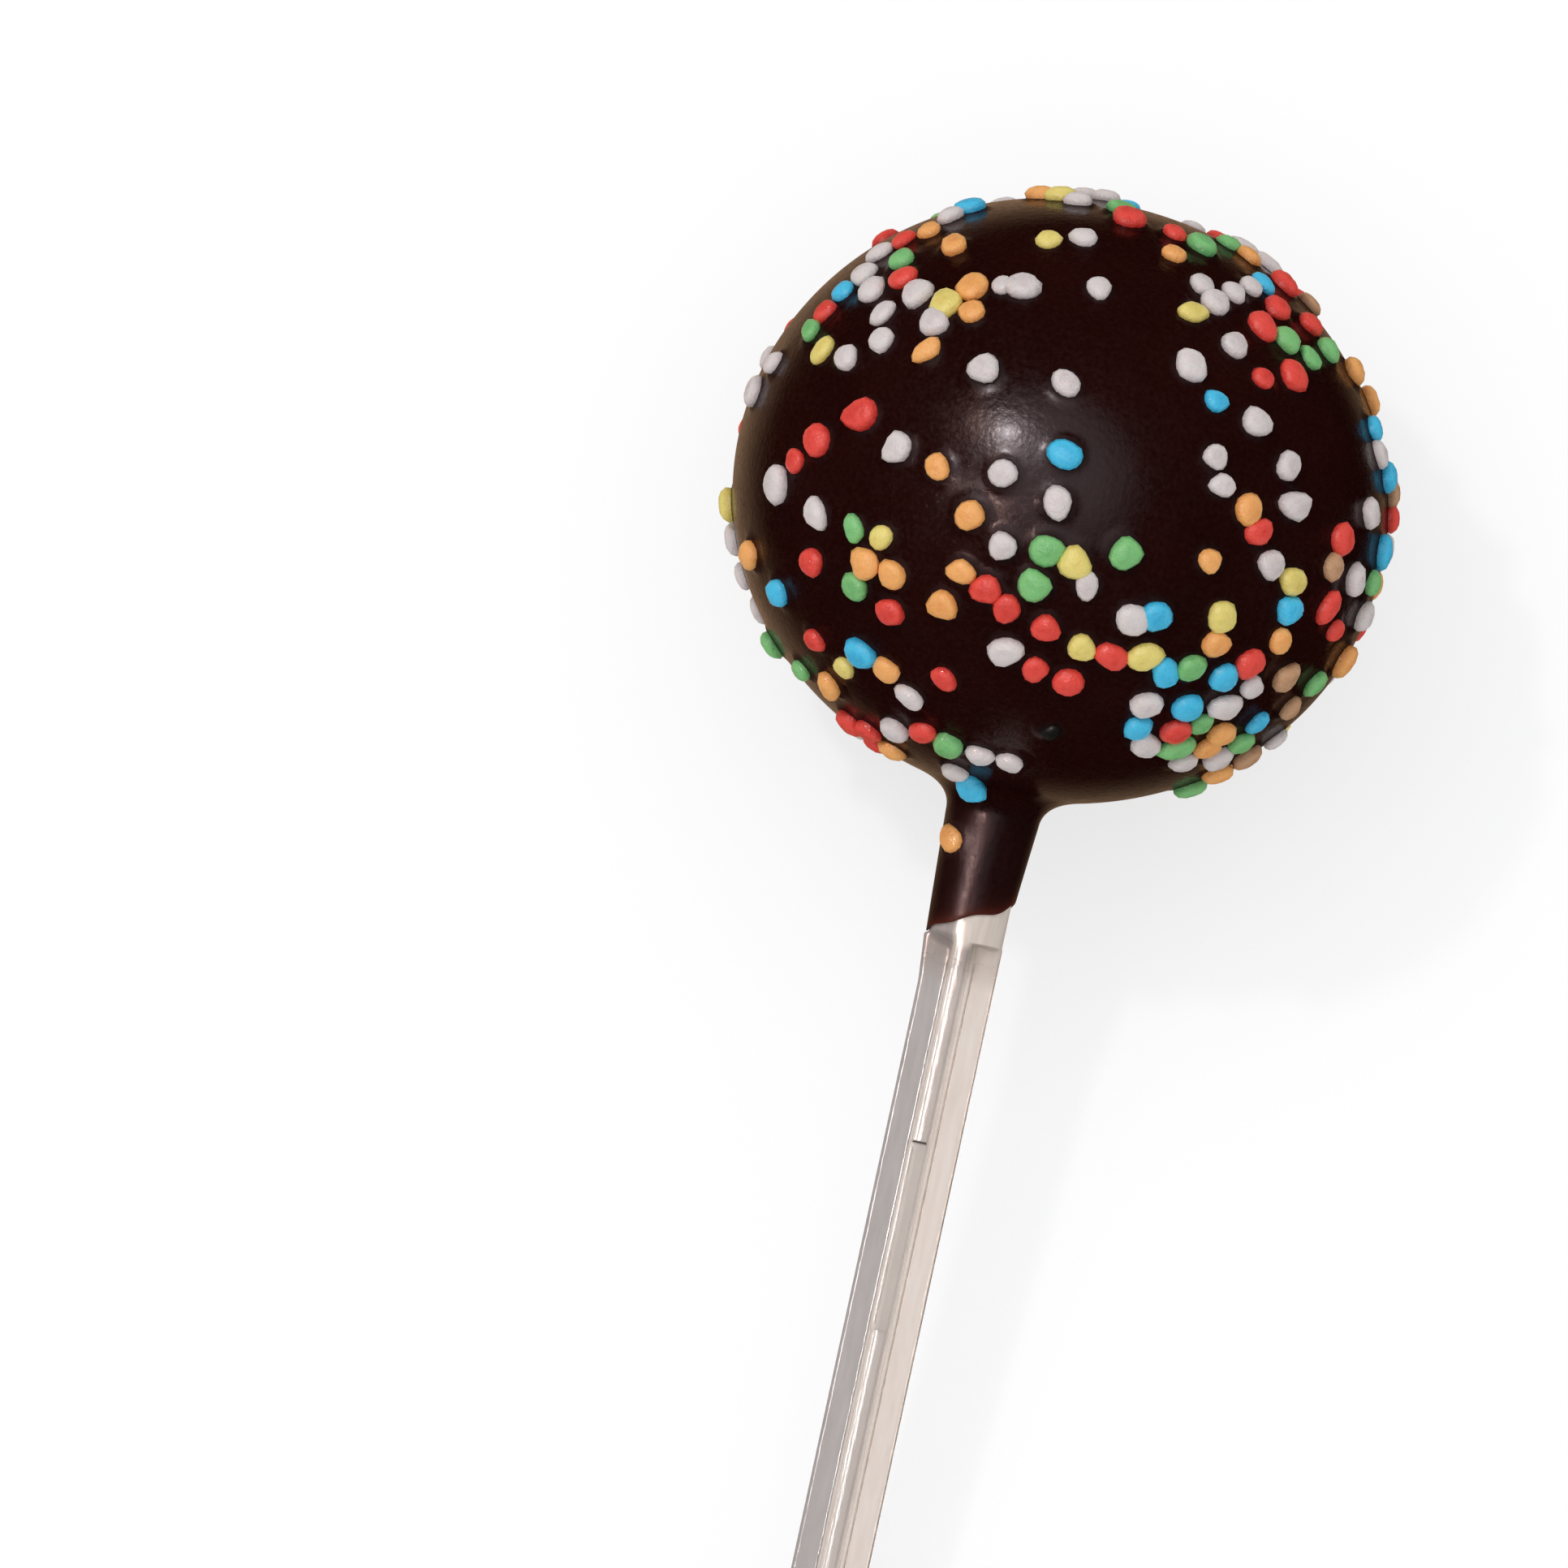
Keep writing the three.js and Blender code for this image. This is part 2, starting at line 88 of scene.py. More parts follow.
FRONT_DROP = 0.085
SHARP_ANGLE = math.radians(50)

# How milky the plastic looks: just below the shoulder, fading out along a length, along the
# front rib's crest, and on the cut end.
HEAD_MILK = 0.8
MILK_LENGTH = 3.0
CREST_MILK = 0.4
CUT_MILK = 0.7
CUT_LENGTH = 0.1

# Where painted shade darkens the plastic to grey: in the left rib, and along the front rib's crest
# between two places across it, from the shoulder downwards. Each edge fades over a length.
LEFT_RIB_FADE = 0.25
SHADE_FROM = -0.35
SHADE_FROM_FADE = 0.15
SHADE_TO = 0.65
SHADE_TO_FADE = 0.2
SHADE_TOP_FADE = 0.5

# The stick's cross-sections: one low in the head, and how many lie from just above the ridges to
# the shoulder, on the flare and on each round end of the pad. The last three are for plain
# stretches: from, to and how many.
HEAD_STATION = -24.0
RIDGES_FROM = -26.0
SHOULDER_STATIONS = 27
FLARE_STATIONS = 16
ROUND_END_STATIONS = 9
ABOVE_PAD = (-31.5, -39.0, 6)
ON_PAD = (-41.5, -50.0, 7)
BELOW_PAD = (-53.0, STICK_END + CUT_LENGTH, 20)

# How the pop lies on its flat spot and on the end of its stick.
FLAT_DEPTH = 0.5
END_DROP = 2.2
CENTRE_HEIGHT = BALL_ACROSS - FLAT_DEPTH
SLOPE = math.asin(CENTRE_HEIGHT / math.hypot(STICK_END, END_DROP)) - math.atan2(END_DROP, -STICK_END)

# Sprinkles, placed by the same rule and the same draws as on the solid.
SPRINKLE_RADIUS = 0.94
SPRINKLE_SPREAD = 0.16
SPRINKLE_STRETCH = 0.3
SMALL_SPRINKLE = 0.7
SPRINKLE_MIDDLE = 0.4
SPRINKLE_HEIGHT = 0.85
STRAND_JITTER = 0.12
OUTLINE_FRONT = 0.4
OUTLINE_BACK = 0.25
BACK_SPRINKLES = 142
BACK_SPACING = 1.9
BACK_EDGE = -0.16
NECK_CLEARANCE = -0.93
FLOOR_CLEARANCE = 0.2
BACK_SHARES = {"W": 38, "R": 19, "O": 16, "G": 10, "B": 9, "Y": 8}
SEED = 20261
SEEDS_APART = 10

# Strands of sprinkles on the shown side. Each runs along the ball's surface from the
# first place to the second (across and up from the ball's centre), and its letters
# are its sprinkles, evenly spaced: white, red, orange, yellow, green, blue, coated with
# a film of chocolate, or dark under a thick one. A small letter is a small sprinkle.
STRANDS = [
    [-8.9, 16.0, -17.2, 6.9, "BWORWWBRG"],
    [-5.0, 17.6, -1.3, 18.6, "OYWW"],
    [-4.2, 15.2, -2.2, 15.8, "YW"],
    [-2.8, 17.6, -0.2, 17.8, "WG"],
    [0.5, 17.4, 3.4, 17.3, "RR"],
    [-14.1, 10.0, -12.4, 11.1, "WR"],
    [-11.3, 10.4, -9.3, 10.2, "WY"],
    [-8.1, 11.4, -7.7, 10.0, "OO"],
    [-9.9, 8.9, -10.0, 7.2, "WO"],
    [-13.1, 8.8, -12.8, 7.1, "WW"],
    [-14.7, 5.7, -16.2, 5.9, "WY"],
    [-12.7, 12.3, -9.8, 13.7, "GO"],
    [-6.2, 12.0, -5.0, 12.1, "wW"],
    [-0.4, 13.1, -1.2, 6.9, "WW"],
    [-6.4, 6.8, -3.8, 0.8, "WW"],
    [-13.1, 2.5, -10.6, 1.0, "RW"],
    [-15.4, 0.4, -17.2, -2.8, "RRW"],
    [-8.0, 0.3, -5.4, -2.2, "OO"],
    [-0.5, 2.7, -0.3, -0.3, "BW"],
    [-18.8, 4.4, -19.4, 2.6, "WW"],
    [4.6, 18.3, 10.4, 15.8, "WRWWR"],
    [3.5, 16.1, 5.1, 16.9, "OG"],
    [6.5, 17.2, 9.2, 15.5, "GOB"],
    [5.6, 14.7, 5.6, 14.7, "W"],
    [5.5, 12.9, 8.6, 15.2, "YWWW"],
    [10.5, 14.3, 17.0, 9.9, "RRGOO"],
    [9.8, 13.0, 13.2, 11.7, "RGG"],
    [5.9, 9.7, 8.3, 11.5, "WW"],
    [8.0, 7.8, 10.7, 7.0, "bW"],
    [10.5, 9.9, 12.3, 10.4, "RR"],
    [17.6, 8.2, 18.9, 5.5, "BWB"],
    [8.6, 4.5, 9.3, 2.8, "WW"],
    [11.1, 1.9, 12.0, 0.6, "OR"],
    [13.0, 4.8, 13.9, 2.6, "WW"],
    [18.6, 3.1, 18.5, -1.0, "WW"],
    [17.2, 1.2, 17.0, -0.4, "RC"],
    [19.7, 3.2, 19.3, -3.0, "RBGW"],
    [17.2, -3.0, 18.4, -5.7, "RRO"],
    [9.5, -1.8, 13.3, -1.3, "OW"],
    [14.8, -1.8, 14.8, -5.6, "YBO"],
    [11.0, -5.0, 11.0, -6.6, "YO"],
    [4.5, -2.4, 2.6, -4.9, "GW"],
    [-0.3, -3.2, 1.5, -3.7, "GY"],
    [5.8, -6.2, 7.2, -5.7, "WB"],
    [-0.7, -5.5, 0.7, -7.9, "GR"],
    [3.1, -8.6, 4.8, -8.8, "YR"],
    [0.6, -10.5, 2.6, -10.9, "RR"],
    [7.0, -8.3, 8.3, -9.0, "YB"],
    [9.8, -8.3, 13.7, -8.7, "GBW"],
    [13.2, -7.3, 17.4, -7.8, "RCG"],
    [7.6, -11.2, 12.5, -10.1, "WBW"],
    [14.6, -10.7, 16.1, -9.4, "BC"],
    [7.4, -12.7, 9.8, -12.3, "BR"],
    [11.3, -11.5, 13.7, -12.0, "GOG"],
    [8.2, -13.5, 12.0, -12.8, "WGO"],
    [10.7, -14.1, 12.6, -13.3, "WW"],
    [15.5, -11.3, 11.4, -15.3, "WCOG"],
    [-2.9, -3.6, -5.1, -5.6, "WO"],
    [-3.5, -6.3, -2.0, -7.2, "RR"],
    [-5.7, -8.0, -1.5, -9.8, "OW"],
    [-12.1, -4.4, -10.3, -4.6, "GY"],
    [-11.0, -6.4, -9.2, -6.8, "OO"],
    [-11.3, -7.9, -8.9, -8.9, "GR"],
    [-14.5, -4.0, -14.1, -7.0, "WR"],
    [-19.8, -4.5, -15.5, -12.3, "YWWWG"],
    [-17.7, -7.1, -15.8, -9.2, "OB"],
    [-13.0, -11.6, -10.8, -12.9, "RY"],
    [-10.0, -11.8, -8.4, -12.4, "BO"],
    [-13.2, -13.5, -11.4, -14.0, "GO"],
    [-9.7, -15.8, -5.4, -15.7, "RRWR"],
    [-8.0, -16.9, -6.8, -16.9, "RO"],
    [-6.6, -13.8, -4.8, -12.3, "WR"],
    [-3.6, -16.1, 0.2, -16.4, "GWW"],
    [-2.9, -17.3, -2.9, -17.3, "W"],
    [2.4, -14.1, 2.4, -14.1, "d"],
    [12.3, 14.8, 12.3, 14.8, "C"],
    [19.6, 4.6, 19.6, 4.6, "C"],
]

# Two sprinkles where the ball runs into the collar: height, distance from the middle
# line, turn about it from the shown side, lean towards the end of the stick, letter.
COLLAR_SPRINKLES = [
    [-18.12, 5.6, -17, 30, "B"],
    [-21.5, 2.55, -50, 0, "O"],
]

# Bare places on the back and just behind the outline: a direction from the ball's centre in
# the ball's own proportions, and how far the place reaches.
BARE_PLACES = [
    [-0.95, -0.25, -0.2, 3.0],
    [0.45, -0.9, -0.1, 5.0],
    [0.55, 0.25, -0.8, 4.0],
    [-0.6, 0.5, -0.6, 3.0],
    [-0.4, -0.6, -0.7, 3.5],
]

# How fine the surfaces are: the chocolate's rows and its columns round the stick, the turns
# from the top and the sides of a sprinkle, and the steps round a corner of the stick.
BALL_ROWS = 185
COATING_COLUMNS = 400
NECK_ROWS = 16
COLLAR_ROWS = 16
RIM_ROWS = 6
LUMP_RING_TURNS = (24, 50, 80, 118)
LUMP_SIDES = 13
CORNER_STEPS = 5


def unit(vectors):
    """Each vector divided by its own length."""
    return vectors / np.linalg.norm(vectors, axis=-1, keepdims=True)


def smooth_step(amount):
    """0 below 0, 1 above 1, and 3t^2 - 2t^3 between."""
    t = np.clip(amount, 0.0, 1.0)
    return t * t * (3 - 2 * t)


def lay_down(points):
    """From the pop's own frame to the part's: turned about X by the slope, lifted by the centre's
    height, and flattened where it would reach below the floor."""
    x, y, z = np.moveaxis(points, -1, 0)
    along = y * math.cos(SLOPE) - z * math.sin(SLOPE)
    height = y * math.sin(SLOPE) + z * math.cos(SLOPE) + CENTRE_HEIGHT
    return np.stack([x, along, np.maximum(height, 0.0)], -1) * MM


def uneven(points):
    """Moved out or in by a product of two slow waves of the direction, plus half of a third one."""
    u = unit(points / BALL_AXES)
    x, y, z = np.moveaxis(u, -1, 0)
    wave = np.sin(3.1 * x + 2.2 * z + 1.3) * np.sin(2.7 * y - 1.9 * z + 0.4)
    wave = wave + 0.5 * np.sin(5.3 * z + 4.1 * x - 1.1 * y)
    return points * (1 + UNEVENNESS / BALL_ACROSS * wave)[..., None]


def ball_point(direction):
    """Where a direction in the ball's own proportions meets its surface."""
    return uneven(direction * BALL_AXES)


def ball_normal(direction):
    return unit(direction / BALL_AXES)


def face_direction(across, up):
    """The direction of a sprinkle whose middle shows, a little above the chocolate, at a place on
    the shown face. One past the outline lands on it."""
    x = across / (BALL_ACROSS + SPRINKLE_MIDDLE)
    y = up / (BALL_ALONG + SPRINKLE_MIDDLE)
    return unit(np.array([x, y, math.sqrt(max(0.0, 1 - x * x - y * y))]))


# Where the sprinkles are.

class Draws:
    """Seeded draws from 0 to 1: each state is the last one times a factor plus a step, wrapped."""

    FACTOR = 1664525
    STEP = 1013904223
    WRAP = 4294967296

    def __init__(self, seed):
        self.state = seed

    def next(self):
        self.state = (self.state * self.FACTOR + self.STEP) % self.WRAP
        return self.state / self.WRAP


def sprinkle_at(draws, point, normal, letter):
    """One sprinkle's own numbers, drawn in the same order for every sprinkle."""
    small = SMALL_SPRINKLE if letter.islower() else 1
    radius = SPRINKLE_RADIUS * small * (1 + SPRINKLE_SPREAD * (2 * draws.next() - 1))
    stretch = 1 + SPRINKLE_STRETCH * draws.next() ** 3
    turn = 2 * math.pi * draws.next()
    return {"point": point, "normal": normal, "radius": radius,
            "stretch": stretch, "turn": turn, "letter": letter.upper()}


def strand_sprinkles(draws):
    """Along a strand a sprinkle strays a little sideways. Near the outline it also strays
    backwards, more and more, so that sprinkles cover the belt on both sides of it."""
    found = []
    for from_across, from_up, to_across, to_up, letters in STRANDS:
        start = face_direction(from_across, from_up)
        end = face_direction(to_across, to_up)
        for i, letter in enumerate(letters):
            share = i / max(1, len(letters) - 1)
            direction = start + (end - start) * share
            nearness = max(0.0, 1 - direction[2] / OUTLINE_FRONT)
            direction[0] += STRAND_JITTER / BALL_ACROSS * (2 * draws.next() - 1)
            direction[1] += STRAND_JITTER / BALL_ACROSS * (2 * draws.next() - 1)
            direction[2] -= nearness * (direction[2] + OUTLINE_BACK) * draws.next()
            direction = unit(direction)
            found.append(sprinkle_at(draws, ball_point(direction), ball_normal(direction), letter))
    return found


def collar_sprinkles(draws):
    found = []
    for height, radius, turn_deg, lean_deg, letter in COLLAR_SPRINKLES:
        turn = math.radians(turn_deg)
        lean = math.radians(lean_deg)
        out = np.array([math.sin(turn), 0.0, math.cos(turn)])
        normal = out * math.cos(lean)
        normal[1] = -math.sin(lean)
        point = uneven(out * radius + np.array([0.0, height, 0.0]))
        found.append(sprinkle_at(draws, point, normal, letter))
    return found


def is_bare(point):
    places = np.array(BARE_PLACES)
    middles = ball_point(unit(places[:, :3]))
    return bool(np.any(np.linalg.norm(middles - point, axis=1) < places[:, 3]))


def back_sprinkles(draws, others):
    """Seeded places on the unseen side, none closer than the spacing to another sprinkle. Their
    colours come from draws of their own, in the shares that the shown side has."""
    points = [one["point"] for one in others]
    colours = np.random.default_rng(SEED)
    letters = "".join(letter * share for letter, share in BACK_SHARES.items())
    found = []
    while len(found) < BACK_SPRINKLES:
        y = 2 * draws.next() - 1
        turn = 2 * math.pi * draws.next()
        level = math.sqrt(1 - y * y)
        direction = np.array([level * math.sin(turn), y, level * math.cos(turn)])
        point = ball_point(direction)
        on_back = direction[2] < BACK_EDGE and direction[1] > NECK_CLEARANCE
        crowded = bool(np.any(np.linalg.norm(np.array(points) - point, axis=1) < BACK_SPACING))
        if on_back and not crowded and not is_bare(point):
            letter = letters[colours.integers(len(letters))]
            points.append(point)
            found.append(sprinkle_at(draws, point, ball_normal(direction), letter))
    return found


def all_sprinkles():
    """Every sprinkle whose outermost point is clear of the floor."""
    draws = Draws(SEED)
    found = strand_sprinkles(draws) + collar_sprinkles(draws)
    found = found + back_sprinkles(draws, found)
    points = np.array([one["point"] for one in found])
    normals = np.array([one["normal"] for one in found])
    radii = np.array([one["radius"] for one in found])
    outermost = points + normals * (radii * SPRINKLE_HEIGHT)[:, None]
    height = lay_down(outermost)[:, 2] / MM
    return [one for one, above in zip(found, height) if above > FLOOR_CLEARANCE]


# Meshes from arrays.

def mesh_piece(name, vertices, faces, values=None):
    """A smooth mesh object at the origin. values are named numbers, one for each vertex."""
    mesh = bpy.data.meshes.new(name)
    mesh.from_pydata(vertices.tolist(), [], faces)
    mesh.shade_smooth()
    for label, numbers in (values or {}).items():
        layer = mesh.attributes.new(label, "FLOAT", "POINT")
        layer.data.foreach_set("value", np.asarray(numbers, np.float32).ravel())
    piece = bpy.data.objects.new(name, mesh)
    bpy.context.scene.collection.objects.link(piece)
    return piece


def grid_faces(rows, columns):
    """Quads of a grid that closes on itself sideways, with a fan of triangles to one more vertex
    before the first row and to one after the last row."""
    row, column = np.meshgrid(np.arange(rows - 1), np.arange(columns), indexing="ij")
    beside = (column + 1) % columns
    first = 1
    quads = np.stack([row * columns + column, (row + 1) * columns + column,
                      (row + 1) * columns + beside, row * columns + beside], -1) + first
    ring = np.arange(columns)
    ring_beside = (ring + 1) % columns
    last = rows * columns + first
    top = np.stack([np.zeros_like(ring), ring + first, ring_beside + first], -1)
    low = last - columns
    bottom = np.stack([ring + low, np.full_like(ring, last), ring_beside + low], -1)
    return quads.reshape(-1, 4), np.concatenate([top, bottom])


def with_ends(numbers, first, last):
    """A grid's numbers in one row, between those of the two vertices at its ends."""
    return np.concatenate([[first], numbers.ravel(), [last]])


# The chocolate. It climbs in fillets round the sprinkles, away from the ball's centre above the
# ball's foot and away from the stick on the collar. Close to them it looks matt. It looks thin
# near the rim, and the softer gloss of the collar fades out over a length.

FILLET_HEIGHT = 0.12
FILLET_WIDTH = 0.6
MATT_WIDTH = 0.27
BALL_FOOT = -17.0
THIN_LENGTH = 0.35
COLLAR_FADE = 0.8


def coating_profile():
    """Radius and height down the outside and back up inside: most of an ellipse, a quadratic
    curve into the collar, a straight collar, a half round rim and the socket's wall. The third
    number is 1 outside and 0 from the rim inwards."""
    neck_turn = math.pi - math.asin(NECK_RADIUS / BALL_ACROSS)
    turn = np.linspace(0, neck_turn, BALL_ROWS + 1)[1:]
    ball = np.stack([BALL_ACROSS * np.sin(turn), BALL_ALONG * np.cos(turn)], -1)
    start = ball[-1]
    bend = np.array([COLLAR_TOP_RADIUS, start[1] - NECK_BEND])
    collar_top = np.array([COLLAR_TOP_RADIUS, COLLAR_TOP])
    t = np.linspace(0, 1, NECK_ROWS + 1)[1:, None]
    neck = (1 - t) ** 2 * start + 2 * t * (1 - t) * bend + t ** 2 * collar_top
    round_half = (COLLAR_RIM_RADIUS - SOCKET_RADIUS) / 2
    rim_centre = np.array([SOCKET_RADIUS + round_half, RIM_MIDDLE + round_half])
    collar_end = np.array([COLLAR_RIM_RADIUS, RIM_MIDDLE + round_half])
    t = np.linspace(0, 1, COLLAR_ROWS + 1)[1:, None]
    collar = collar_top + t * (collar_end - collar_top)
    turn = np.linspace(0, math.pi, RIM_ROWS + 1)[1:]
    rim = rim_centre + round_half * np.stack([np.cos(turn), -np.sin(turn)], -1)
    socket = np.array([[SOCKET_RADIUS, height] for height in SOCKET_ROWS])
    outside = np.concatenate([ball, neck, collar])
    inside = np.concatenate([rim, socket])
    facing = np.concatenate([np.ones(len(outside)), np.zeros(len(inside))])
    return np.column_stack([np.concatenate([outside, inside]), facing])


def rim_slant(x):
    """How far the rim rises towards x: a share of it evenly and the rest with the cube."""
    side = x / COLLAR_RIM_RADIUS
    return RIM_SLANT * (SLANT_IN_FRONT * side + (1 - SLANT_IN_FRONT) * side ** 3)


def rim_shift(x, z):
    """The rim's slant plus five small waves round it."""
    reach = np.hypot(x, z) / COLLAR_RIM_RADIUS
    return rim_slant(x) + RIM_RAGGEDNESS * np.sin(5 * np.arctan2(x, z) + 1) * reach ** 2


def fillets(points, sprinkles):
    """How far the chocolate climbs at each point: for the nearest sprinkle, full height under
    it and the square of the share of the fillet's width that is left outside it. Also how matt
    it is there: 1 under a sprinkle's edge, 0 a little way outside."""
    climb = np.zeros(len(points))
    matt = np.zeros(len(points))
    for one in sprinkles:
        outside = np.linalg.norm(points - one["point"], axis=1) - one["radius"]
        climb = np.maximum(climb, np.clip(1 - outside / FILLET_WIDTH, 0, 1) ** 2)
        matt = np.maximum(matt, np.clip(1 - outside / MATT_WIDTH, 0, 1))
    return climb * FILLET_HEIGHT, matt


def chocolate(sprinkles):
    """The profile turned about the stick: x = r sin v, z = r cos v. Then the rim's shift, the
    unevenness, and fillets round the sprinkles along the outward direction. Its numbers for the
    finish are thin, 1 at the rim and less above it, matt, and collar, 1 on the collar."""
    profile = coating_profile()
    v = np.arange(COATING_COLUMNS) * 2 * math.pi / COATING_COLUMNS
    radius, height, facing = (profile[:, i, None] for i in range(3))
    x = radius * np.sin(v)
    z = radius * np.cos(v)
    y = np.broadcast_to(height, x.shape)
    down = np.maximum(0, (COLLAR_TOP - y) / (COLLAR_TOP - RIM_MIDDLE))
    y = y + down * rim_shift(x, z)
    grid = uneven(np.stack([x, y, z], -1))
    on_ball = smooth_step((grid[..., 1] - COLLAR_TOP) / (BALL_FOOT - COLLAR_TOP))
    outward = unit(grid * np.stack([np.ones_like(x), on_ball, np.ones_like(x)], -1))
    climb, matt = fillets(grid.reshape(-1, 3), sprinkles)
    climb = climb.reshape(x.shape) * facing
    grid = grid + outward * climb[..., None]
    top = uneven(np.array([0.0, BALL_ALONG, 0.0]))
    end = np.array([0.0, SOCKET_TOP, 0.0])
    vertices = np.concatenate([top[None], grid.reshape(-1, 3), end[None]])
    rim_height = RIM_MIDDLE + rim_shift(x, z)
    above_rim = np.maximum(0, grid[..., 1] - rim_height)
    thin = np.exp(-above_rim / THIN_LENGTH) * (grid[..., 1] < COLLAR_TOP)
    collar = smooth_step((COLLAR_TOP + COLLAR_FADE - grid[..., 1]) / COLLAR_FADE)
    values = {"thin": with_ends(thin, 0.0, 0.0), "matt": with_ends(matt, 0.0, 0.0),
              "collar": with_ends(collar, 0.0, 0.0)}
    quads, fans = grid_faces(*x.shape)
    faces = quads.tolist() + fans.tolist()
    return mesh_piece("chocolate", lay_down(vertices), faces, values)


# The sprinkles. The waves round a lump: how many crests, and how high they may be. Then the share
# of lumps without a spur, how high and how sharp a spur is, how blunt lumps are, how much they
# tilt, how far their points stray, and where their middles lie.

LUMP_WAVES = {2: 0.08, 3: 0.08, 4: 0.05}
SPURLESS_SHARE = 0.62
SPUR_HEIGHT = (0.08, 0.24)
SPUR_SHARPNESS = 5
LUMP_BLUNTNESS = (0.75, 1.0)
LUMP_TILT = 0.2
LUMP_NUDGE = 0.03
LUMP_CENTRE = 0.2
LUMP_HALF_HEIGHT = SPRINKLE_HEIGHT - LUMP_CENTRE


def lump_shapes(count, seed):
    """Unit lumps as rings of points, for sideways angle b and downward angle a from the top. The
    outline is 1 plus waves of b with two, three and four crests and on some a spur. A point's
    distance from the axis is the outline times sin a to a power, and its height is cos a to a
    power, tilted to one side, each nudged a little by chance."""
    random = np.random.default_rng(seed)
    a = np.radians(LUMP_RING_TURNS)[None, :, None]
    b = (np.arange(LUMP_SIDES) * 2 * math.pi / LUMP_SIDES)[None, None, :]

    def each(low, high):
        return random.uniform(low, high, (count, 1, 1))

    outline = 1.0
    for crests, most in LUMP_WAVES.items():
        outline = outline + each(0.0, most) * np.cos(crests * (b - each(0, math.pi)))
    spur = (each(0, 1) > SPURLESS_SHARE) * each(*SPUR_HEIGHT)
    nearness = np.exp(SPUR_SHARPNESS * (np.cos(b - each(0, 2 * math.pi)) - 1))
    outline = outline + spur * nearness * np.sin(a)
    nudge = random.uniform(-LUMP_NUDGE, LUMP_NUDGE, (2, count, len(LUMP_RING_TURNS), LUMP_SIDES))
    reach = np.sin(a) ** each(*LUMP_BLUNTNESS) * outline * (1 + nudge[0])
    height = np.sign(np.cos(a)) * np.abs(np.cos(a)) ** each(*LUMP_BLUNTNESS)
    height = height + each(0.0, LUMP_TILT) * np.cos(b - each(0, 2 * math.pi)) * np.sin(a) + nudge[1]
    return reach, height, b


def sprinkle_piece(name, sprinkles, seed):
    """All sprinkles of one colour as one mesh. Each lump is scaled to its sprinkle's radius and
    stretch, turned about its own axis, tipped from Y to its normal and moved to its place. Its numbers
    for the finish are its tone, drawn by chance, and rise, 0 low down and 1 on top, which the finish
    turns into painted shade low down and painted light higher up."""
    count = len(sprinkles)
    reach, height, b = lump_shapes(count, seed)
    radius, stretch, turn = (np.array([one[key] for one in sprinkles])[:, None, None]
                             for key in ("radius", "stretch", "turn"))
    along = reach * np.cos(b) * radius * stretch
    beside = reach * np.sin(b) * radius / np.sqrt(stretch)
    x = along * np.cos(turn) + beside * np.sin(turn)
    z = beside * np.cos(turn) - along * np.sin(turn)
    up = (LUMP_CENTRE + LUMP_HALF_HEIGHT * height) * radius
    rings = np.stack([x, up, z], -1).reshape(count, -1, 3)
    pole = np.zeros((count, 1, 3))
    pole[:, 0, 1] = (LUMP_CENTRE + LUMP_HALF_HEIGHT) * radius[:, 0, 0]
    foot = np.zeros((count, 1, 3))
    foot[:, 0, 1] = (LUMP_CENTRE - LUMP_HALF_HEIGHT) * radius[:, 0, 0]
    lumps = np.concatenate([pole, rings, foot], 1)
    normals = np.array([one["normal"] for one in sprinkles])
    places = np.array([one["point"] for one in sprinkles])
    vertices = tipped(lumps, normals) + places[:, None, :]
    quads, fans = grid_faces(len(LUMP_RING_TURNS), LUMP_SIDES)
    step = np.arange(count)[:, None, None] * lumps.shape[1]
    all_quads = (quads[:, ::-1] + step).reshape(-1, 4)
    all_fans = (fans[:, ::-1] + step).reshape(-1, 3)
    random = np.random.default_rng(seed + 1)
    tone = np.repeat(random.uniform(0, 1, count), lumps.shape[1])
    rise = np.clip(lumps[..., 1] / (SPRINKLE_HEIGHT * radius[:, 0]), 0, 1)
    vertices = lay_down(vertices.reshape(-1, 3))
    faces = all_quads.tolist() + all_fans.tolist()
    return mesh_piece(name, vertices, faces, {"tone": tone, "rise": rise})


def tipped(lumps, normals):
    """Each lump turned by the shortest way that takes Y to its normal n: p + s x p + s x (s x p)
    divided by 1 + n.y, where s is Y x n."""
    swing = np.stack([normals[:, 2], np.zeros(len(normals)), -normals[:, 0]], -1)[:, None, :]
    once = np.cross(swing, lumps)
    twice = np.cross(swing, once)
    return lumps + once + twice / (1 + normals[:, 1])[:, None, None]


# The stick. The shares are where the extra points lie along each flat side of a rib.

FLAT_POINTS = (0.12, 0.5, 0.88)


